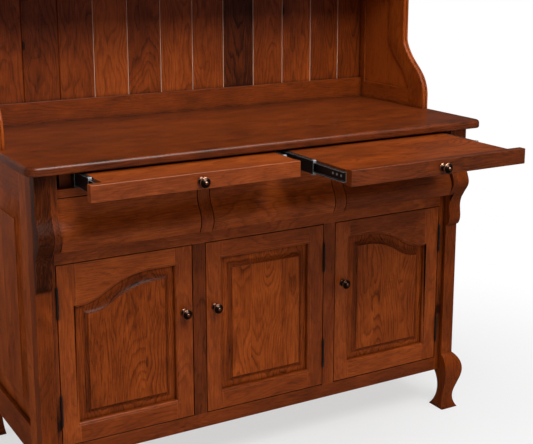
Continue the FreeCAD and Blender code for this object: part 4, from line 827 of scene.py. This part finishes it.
def show_tongues(joints):
    """Pale tongues in the V joints, which paint the highlights along the planks' edges: a half-round bead,
    x = joint + r cos t and y = root - r sin t for t from 0 to pi, carried straight up the planks."""
    low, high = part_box("hutch_planks")
    angle = np.linspace(0, np.pi, TONGUE_FACETS + 1)
    reach = TONGUE_WIDTH / 2
    across = joints[:, None, None] + reach * np.cos(angle)[None, None, :]
    front = low.y + TONGUE_DEPTH - reach * np.sin(angle)[None, None, :]
    ends = np.array([low.z + TONGUE_SETBACK, high.z - TONGUE_SETBACK])[None, :, None]
    points = np.stack(np.broadcast_arrays(across, front, ends), axis=3).reshape(-1, 3)
    here = np.arange(len(points)).reshape(len(joints), 2, len(angle))
    after = np.roll(here, -1, axis=2)
    walls = np.stack((here[:, 0], here[:, 1], after[:, 1], after[:, 0]), axis=2).reshape(-1, 4)
    mesh = mesh_of("plank_tongues", points, walls.tolist() + here[:, 0].tolist() + here[:, 1, ::-1].tolist())
    for key, value in (("grain_along", AXES[UP]), ("grain_across", AXES[ACROSS]), ("board_origin", low),
                       ("board_traits", TONGUE_TRAITS)):
        set_attribute(mesh, key, np.tile(value, (len(points), 1)))
    new_piece("plank_tongues", mesh, "hutch_planks", "bare_wood")


class DRESSER_OT_hutch(Operator):
    """The hutch: scrolled side frames and panels, planks, shelves, valance, top and crown"""
    bl_idname = "dresser.hutch"
    bl_label = "Hutch"

    def execute(self, context):
        # the side frames and panels are lightened as painted light, where the lamps reach them less
        eased_boards("hutch_side_frames", SCROLL_EASE, spread=0.15, shade=0.6, sheen=0.6)
        eased_boards("hutch_side_panels", spread=0.1, lines=0.8, shade=1.5, sheen=0.6)
        joints = plank_joints()
        eased_boards("hutch_planks", spread=0.25, staves=False, lines=1.0, shade=PLANK_SHADES,
                     shape=plank_shapes(joints))
        # pale tongues as painted highlights, in the joints right of the first one that shows them
        show_tongues(joints[(joints > FIRST_BARE_JOINT) & (joints < joints[-1])])
        eased_boards("hutch_bottom_rail", context.scene.dresser_edges.door_ease, knots=0.3, staves=False,
                     shade=-0.6)
        for name in ("hutch_shelves", "hutch_valance", "hutch_top", "crown_moulding"):
            eased_boards(name)
        return {"FINISHED"}


class DRESSER_OT_insides(Operator):
    """Maple insides: floor, back, rails, runners, partitions, shelves and the strips that hold them"""
    bl_idname = "dresser.insides"
    bl_label = "Insides"

    def execute(self, context):
        for name in ("cabinet_floor", "cabinet_back", "rear_rails", "drawer_runners", "partitions",
                     "cupboard_shelves", "shelf_cleats"):
            eased_boards(name)
        return {"FINISHED"}


# ---- metal fittings ----
class DRESSER_OT_fittings(Operator):
    """Hinges, slides, catches and shelf pins in their finishes"""
    bl_idname = "dresser.fittings"
    bl_label = "Fittings"

    def execute(self, context):
        for name, thing in NODES.items():
            if SLOT_OF[name] in ("black_steel", "zinc_steel"):
                thing.data.materials.clear()
                thing.data.materials.append(finish_for(SLOT_OF[name]))
        return {"FINISHED"}


MEMBER_LENGTH = 0.3  # slide members are longer and ball cages shorter, in metres
CLIP_SHEET = 1.1 * MM
CLIP_DROP = 7.0 * MM  # of a ball retainer over its member's end
CLIP_TOP = 8.0 * MM  # of a ball retainer back along the edge
CLIP_BEND = 1.6 * MM
BEND_FACETS = 5
WEB_SHEET = 1.3 * MM  # sheet of the tray members that the screws' heads sit on
SCREW_FACETS = 16
# radius and height of a screw's head in mm
SCREW_PROFILE = ((0.0, 0.0), (3.6, 0.0), (3.5, 0.5), (2.9, 1.1), (1.8, 1.5), (0.9, 1.6), (0.8, 0.9), (0.0, 0.8))
SCREW_SETBACKS = (20.0 * MM, 38.0 * MM, 56.0 * MM)


def bent_clip(x0, x1, front_y, edge_z, up):
    """A sheet strip bent over a member's end.  Its middle line goes up the end, round a quarter circle and back
    along the edge; the strip is half a sheet to each side of that line, from x0 to x1."""
    angle = np.linspace(0, np.pi / 2, BEND_FACETS + 1)
    y = np.concatenate(([front_y], front_y + CLIP_BEND * (1 - np.cos(angle)), [front_y + CLIP_TOP]))
    z = np.concatenate(([-CLIP_DROP], CLIP_BEND * (np.sin(angle) - 1), [0.0]))
    slope = np.stack((np.gradient(y), np.gradient(z)))
    along_y, along_z = (slope / np.linalg.norm(slope, axis=0))[:, :, None]
    x, side = np.array(((x0, 1), (x1, 1), (x1, -1), (x0, -1))).T
    reach = side * CLIP_SHEET / 2
    y = y[:, None] - reach * along_z
    z = edge_z + up * (z[:, None] + reach * along_y)
    points = np.stack(np.broadcast_arrays(x, y, z), axis=2).reshape(-1, 3)
    here, _, walls = ring_walls(*y.shape)
    return points, walls + [here[0, ::-1].tolist(), here[-1].tolist()]


def members(name):
    """Boxes of a node's long members, without the short ball cages."""
    _, low, high = board_boxes(*read_mesh(NODES[name].data))
    long = (high - low)[:, 1] > MEMBER_LENGTH
    return list(zip(low[long], high[long]))


def add_details(name, parts, node_name):
    """Adds closed shapes, turned to face outwards, as one bright zinc piece on a node."""
    starts = np.cumsum([0] + [len(points) for points, _ in parts])
    faces = [[corner + start for corner in face] for start, (_, rows) in zip(starts, parts) for face in rows]
    mesh = mesh_of(name, np.concatenate([points for points, _ in parts]), faces)
    work = bmesh.new()
    work.from_mesh(mesh)
    bmesh.ops.recalc_face_normals(work, faces=work.faces)
    work.to_mesh(mesh)
    work.free()
    new_piece(name, mesh, node_name, "bright_zinc")


class DRESSER_OT_slide_details(Operator):
    """Ball retainers bent over the front ends of the middle slide members, and screws in the tray members"""
    bl_idname = "dresser.slide_details"
    bl_label = "Slide details"

    def execute(self, context):
        screw, rows, _ = turned_shape(np.array(SCREW_PROFILE) * MM, SCREW_FACETS)
        for side in ("left", "right"):
            middle_node, tray_node = side + "_middle_slide_members", side + "_tray_slide_members"
            add_details(side + "_ball_retainers", [
                bent_clip(a[0], b[0], a[1] - CLIP_SHEET, edge + up * CLIP_SHEET, up)
                for a, b in members(middle_node) for edge, up in ((a[2], -1), (b[2], 1))], middle_node)
            screws = []
            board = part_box(side + "_tray_board")
            for a, b in members(tray_node):
                at_left = abs(a[0] - board[0].x) > abs(b[0] - board[1].x)
                web = a[0] + WEB_SHEET if at_left else b[0] - WEB_SHEET
                towards = (1, 0, 0) if at_left else (-1, 0, 0)
                for setback in SCREW_SETBACKS:
                    screws.append((aim(screw, towards, (web, a[1] + setback, (a[2] + b[2]) / 2)), rows))
            add_details(side + "_slide_screws", screws, tray_node)
        return {"FINISHED"}


# ---- stage ----
FLOOR_REACH = 9.0  # in metres, to each side
FLOOR_SQUARES = 18
FLOOR_DROP = 0.2 * MM  # keeps the floor just clear of the feet
FLOOR_FADE = (0.7, 1.9)  # in metres from the middle, where it starts to turn white and is white
PAINT_SCALE = 30.0  # uneven paint, about 33 mm
BEHIND = (0.94, 0.99)  # cosines of the turn from straight behind, where the mirrored world whitens and is white
ROOM_SHARE = 0.15  # of the even light, where surfaces mirror the room in front


def place_camera(scene):
    """A camera at the eye that looks along (sin yaw cos pitch, cos yaw cos pitch, -sin pitch)."""
    stage = scene.dresser_stage
    data = bpy.data.cameras.new("camera")
    camera = scene.camera = new_object("camera", data)
    data.sensor_fit = "HORIZONTAL"
    data.sensor_width = 36.0
    data.lens = stage.lens
    data.shift_y = stage.shift
    data.clip_end = 60.0
    yaw, pitch = stage.yaw, stage.pitch
    look = Vector((math.sin(yaw) * math.cos(pitch), math.cos(yaw) * math.cos(pitch), -math.sin(pitch)))
    camera.location = Vector(stage.eye) + Vector((0, DOOR_FACE_Y, 0))
    camera.rotation_euler = look.to_track_quat("-Z", "Y").to_euler()


def lay_floor(scene):
    """A flat painted sheet, pale and matt, whose colour turns to the white surroundings away from the object."""
    steps = np.linspace(-FLOOR_REACH, FLOOR_REACH, FLOOR_SQUARES + 1)
    points = np.stack(np.meshgrid(steps, steps, -FLOOR_DROP, indexing="ij"), axis=3).reshape(-1, 3)
    here = np.arange(len(points)).reshape(len(steps), len(steps))
    faces = np.stack((here[:-1, :-1], here[1:, :-1], here[1:, 1:], here[:-1, 1:]), axis=2).reshape(-1, 4)
    floor = new_object("studio_floor", mesh_of("studio_floor", points, faces.tolist()))
    floor.visible_glossy = False
    material, add, place = new_tree("painted_floor")
    paint = add("TexNoise", {"Vector": place, "Scale": PAINT_SCALE, "Detail": 4.0})
    rough = add("MapRange", (paint, 0.0, 1.0, 0.75, 0.9))
    flat = add("BsdfPrincipled", {
        "Base Color": (*scene.dresser_stage.floor, 1.0), "Roughness": rough, "Specular IOR Level": 0.1})
    white = add("Emission", ((1, 1, 1, 1), 1.0))
    far = add("VectorMath", (place,), "LENGTH").outputs["Value"]
    far = add("MapRange", (far, *FLOOR_FADE, 0.6, 1.0), interpolation_type="SMOOTHSTEP")
    far = add("Math", (far, add("LightPath").outputs["Is Camera Ray"]), "MULTIPLY")
    floor.data.materials.append(close_tree(material, add("MixShader", (far, flat, white))))


def light(scene):
    """World: white where the camera looks and straight behind the object, dim where surfaces mirror the room in
    front, and even light for everything else.  Three softboxes, of which the side one isn't mirrored."""
    stage = scene.dresser_stage
    world = scene.world = bpy.data.worlds.new("studio")
    world.use_nodes = True
    world.node_tree.nodes.clear()
    add = functools.partial(node, world.node_tree)
    path = add("LightPath").outputs
    toward = add("SeparateXYZ", (add("TexCoord").outputs["Generated"],)).outputs
    behind = add("MapRange", (toward[1], *BEHIND))
    shown = add("Math", (path["Is Glossy Ray"], behind), "MULTIPLY")
    for ray in ("Is Camera Ray", "Is Transmission Ray"):
        shown = add("Math", (path[ray], shown), "MAXIMUM")
    dim = add("MapRange", (path["Is Glossy Ray"], 0.0, 1.0, stage.ambient, stage.ambient * ROOM_SHARE))
    even = add("Background", ((1, 1, 1, 1), dim))
    white = add("Background", ((1, 1, 1, 1), 1.0))
    add("OutputWorld", (add("MixShader", (shown, even, white)),))
    for name, spot, target, wide, high, power, mirrored in (
            ("softbox_key", (0.1, -2.4, 3.4), (0.0, -0.1, 0.7), 2.0, 1.4, stage.key_power, True),
            ("softbox_top", (0.5, -1.0, 3.2), (0.1, 0.0, 0.8), 2.6, 1.2, stage.top_power, True),
            ("softbox_side", (-2.6, 0.6, 1.5), (-0.7, 0.1, 0.7), 1.2, 1.2, stage.side_power, False)):
        data = bpy.data.lights.new(name, "AREA")
        data.shape = "RECTANGLE"
        data.size, data.size_y, data.energy = wide, high, power
        lamp = new_object(name, data)
        lamp.location = spot
        lamp.rotation_euler = (Vector(target) - Vector(spot)).to_track_quat("-Z", "Y").to_euler()
        lamp.visible_glossy = mirrored


class DRESSER_OT_stage(Operator):
    """Camera, soft studio lights, pale floor and white surroundings"""
    bl_idname = "dresser.stage"
    bl_label = "Stage"

    def execute(self, context):
        for arrange in (place_camera, lay_floor, light):
            arrange(context.scene)
        context.scene.view_settings.view_transform = "Standard"
        return {"FINISHED"}


class DRESSER_PT_panel(Panel):
    bl_idname = "DRESSER_PT_panel"
    bl_label = "Dresser"
    bl_space_type = "VIEW_3D"
    bl_region_type = "UI"
    bl_category = "Dresser"

    def draw(self, context):
        for group in GROUPS:
            values = getattr(context.scene, group)
            for name in values.__annotations__:
                self.layout.prop(values, name)
        for operator in OPERATORS:
            self.layout.operator(operator.bl_idname)


GROUPS = {
    "dresser_wood": DresserWood,
    "dresser_metal": DresserMetal,
    "dresser_edges": DresserEdges,
    "dresser_stage": DresserStage,
}
OPERATORS = (
    DRESSER_OT_case, DRESSER_OT_doors, DRESSER_OT_drawers, DRESSER_OT_trays, DRESSER_OT_hutch,
    DRESSER_OT_insides, DRESSER_OT_knobs, DRESSER_OT_fittings, DRESSER_OT_slide_details, DRESSER_OT_stage,
)


def register():
    for group, kind in GROUPS.items():
        bpy.utils.register_class(kind)
        setattr(bpy.types.Scene, group, PointerProperty(type=kind))
    for kind in (*OPERATORS, DRESSER_PT_panel):
        bpy.utils.register_class(kind)


def unregister():
    for kind in (DRESSER_PT_panel, *reversed(OPERATORS)):
        bpy.utils.unregister_class(kind)
    for group, kind in reversed(GROUPS.items()):
        delattr(bpy.types.Scene, group)
        bpy.utils.unregister_class(kind)


def main():
    register()
    gather_boards()
    for operator in OPERATORS:
        family, name = operator.bl_idname.split(".")
        getattr(getattr(bpy.ops, family), name)()


if __name__ == "__main__":
    main()
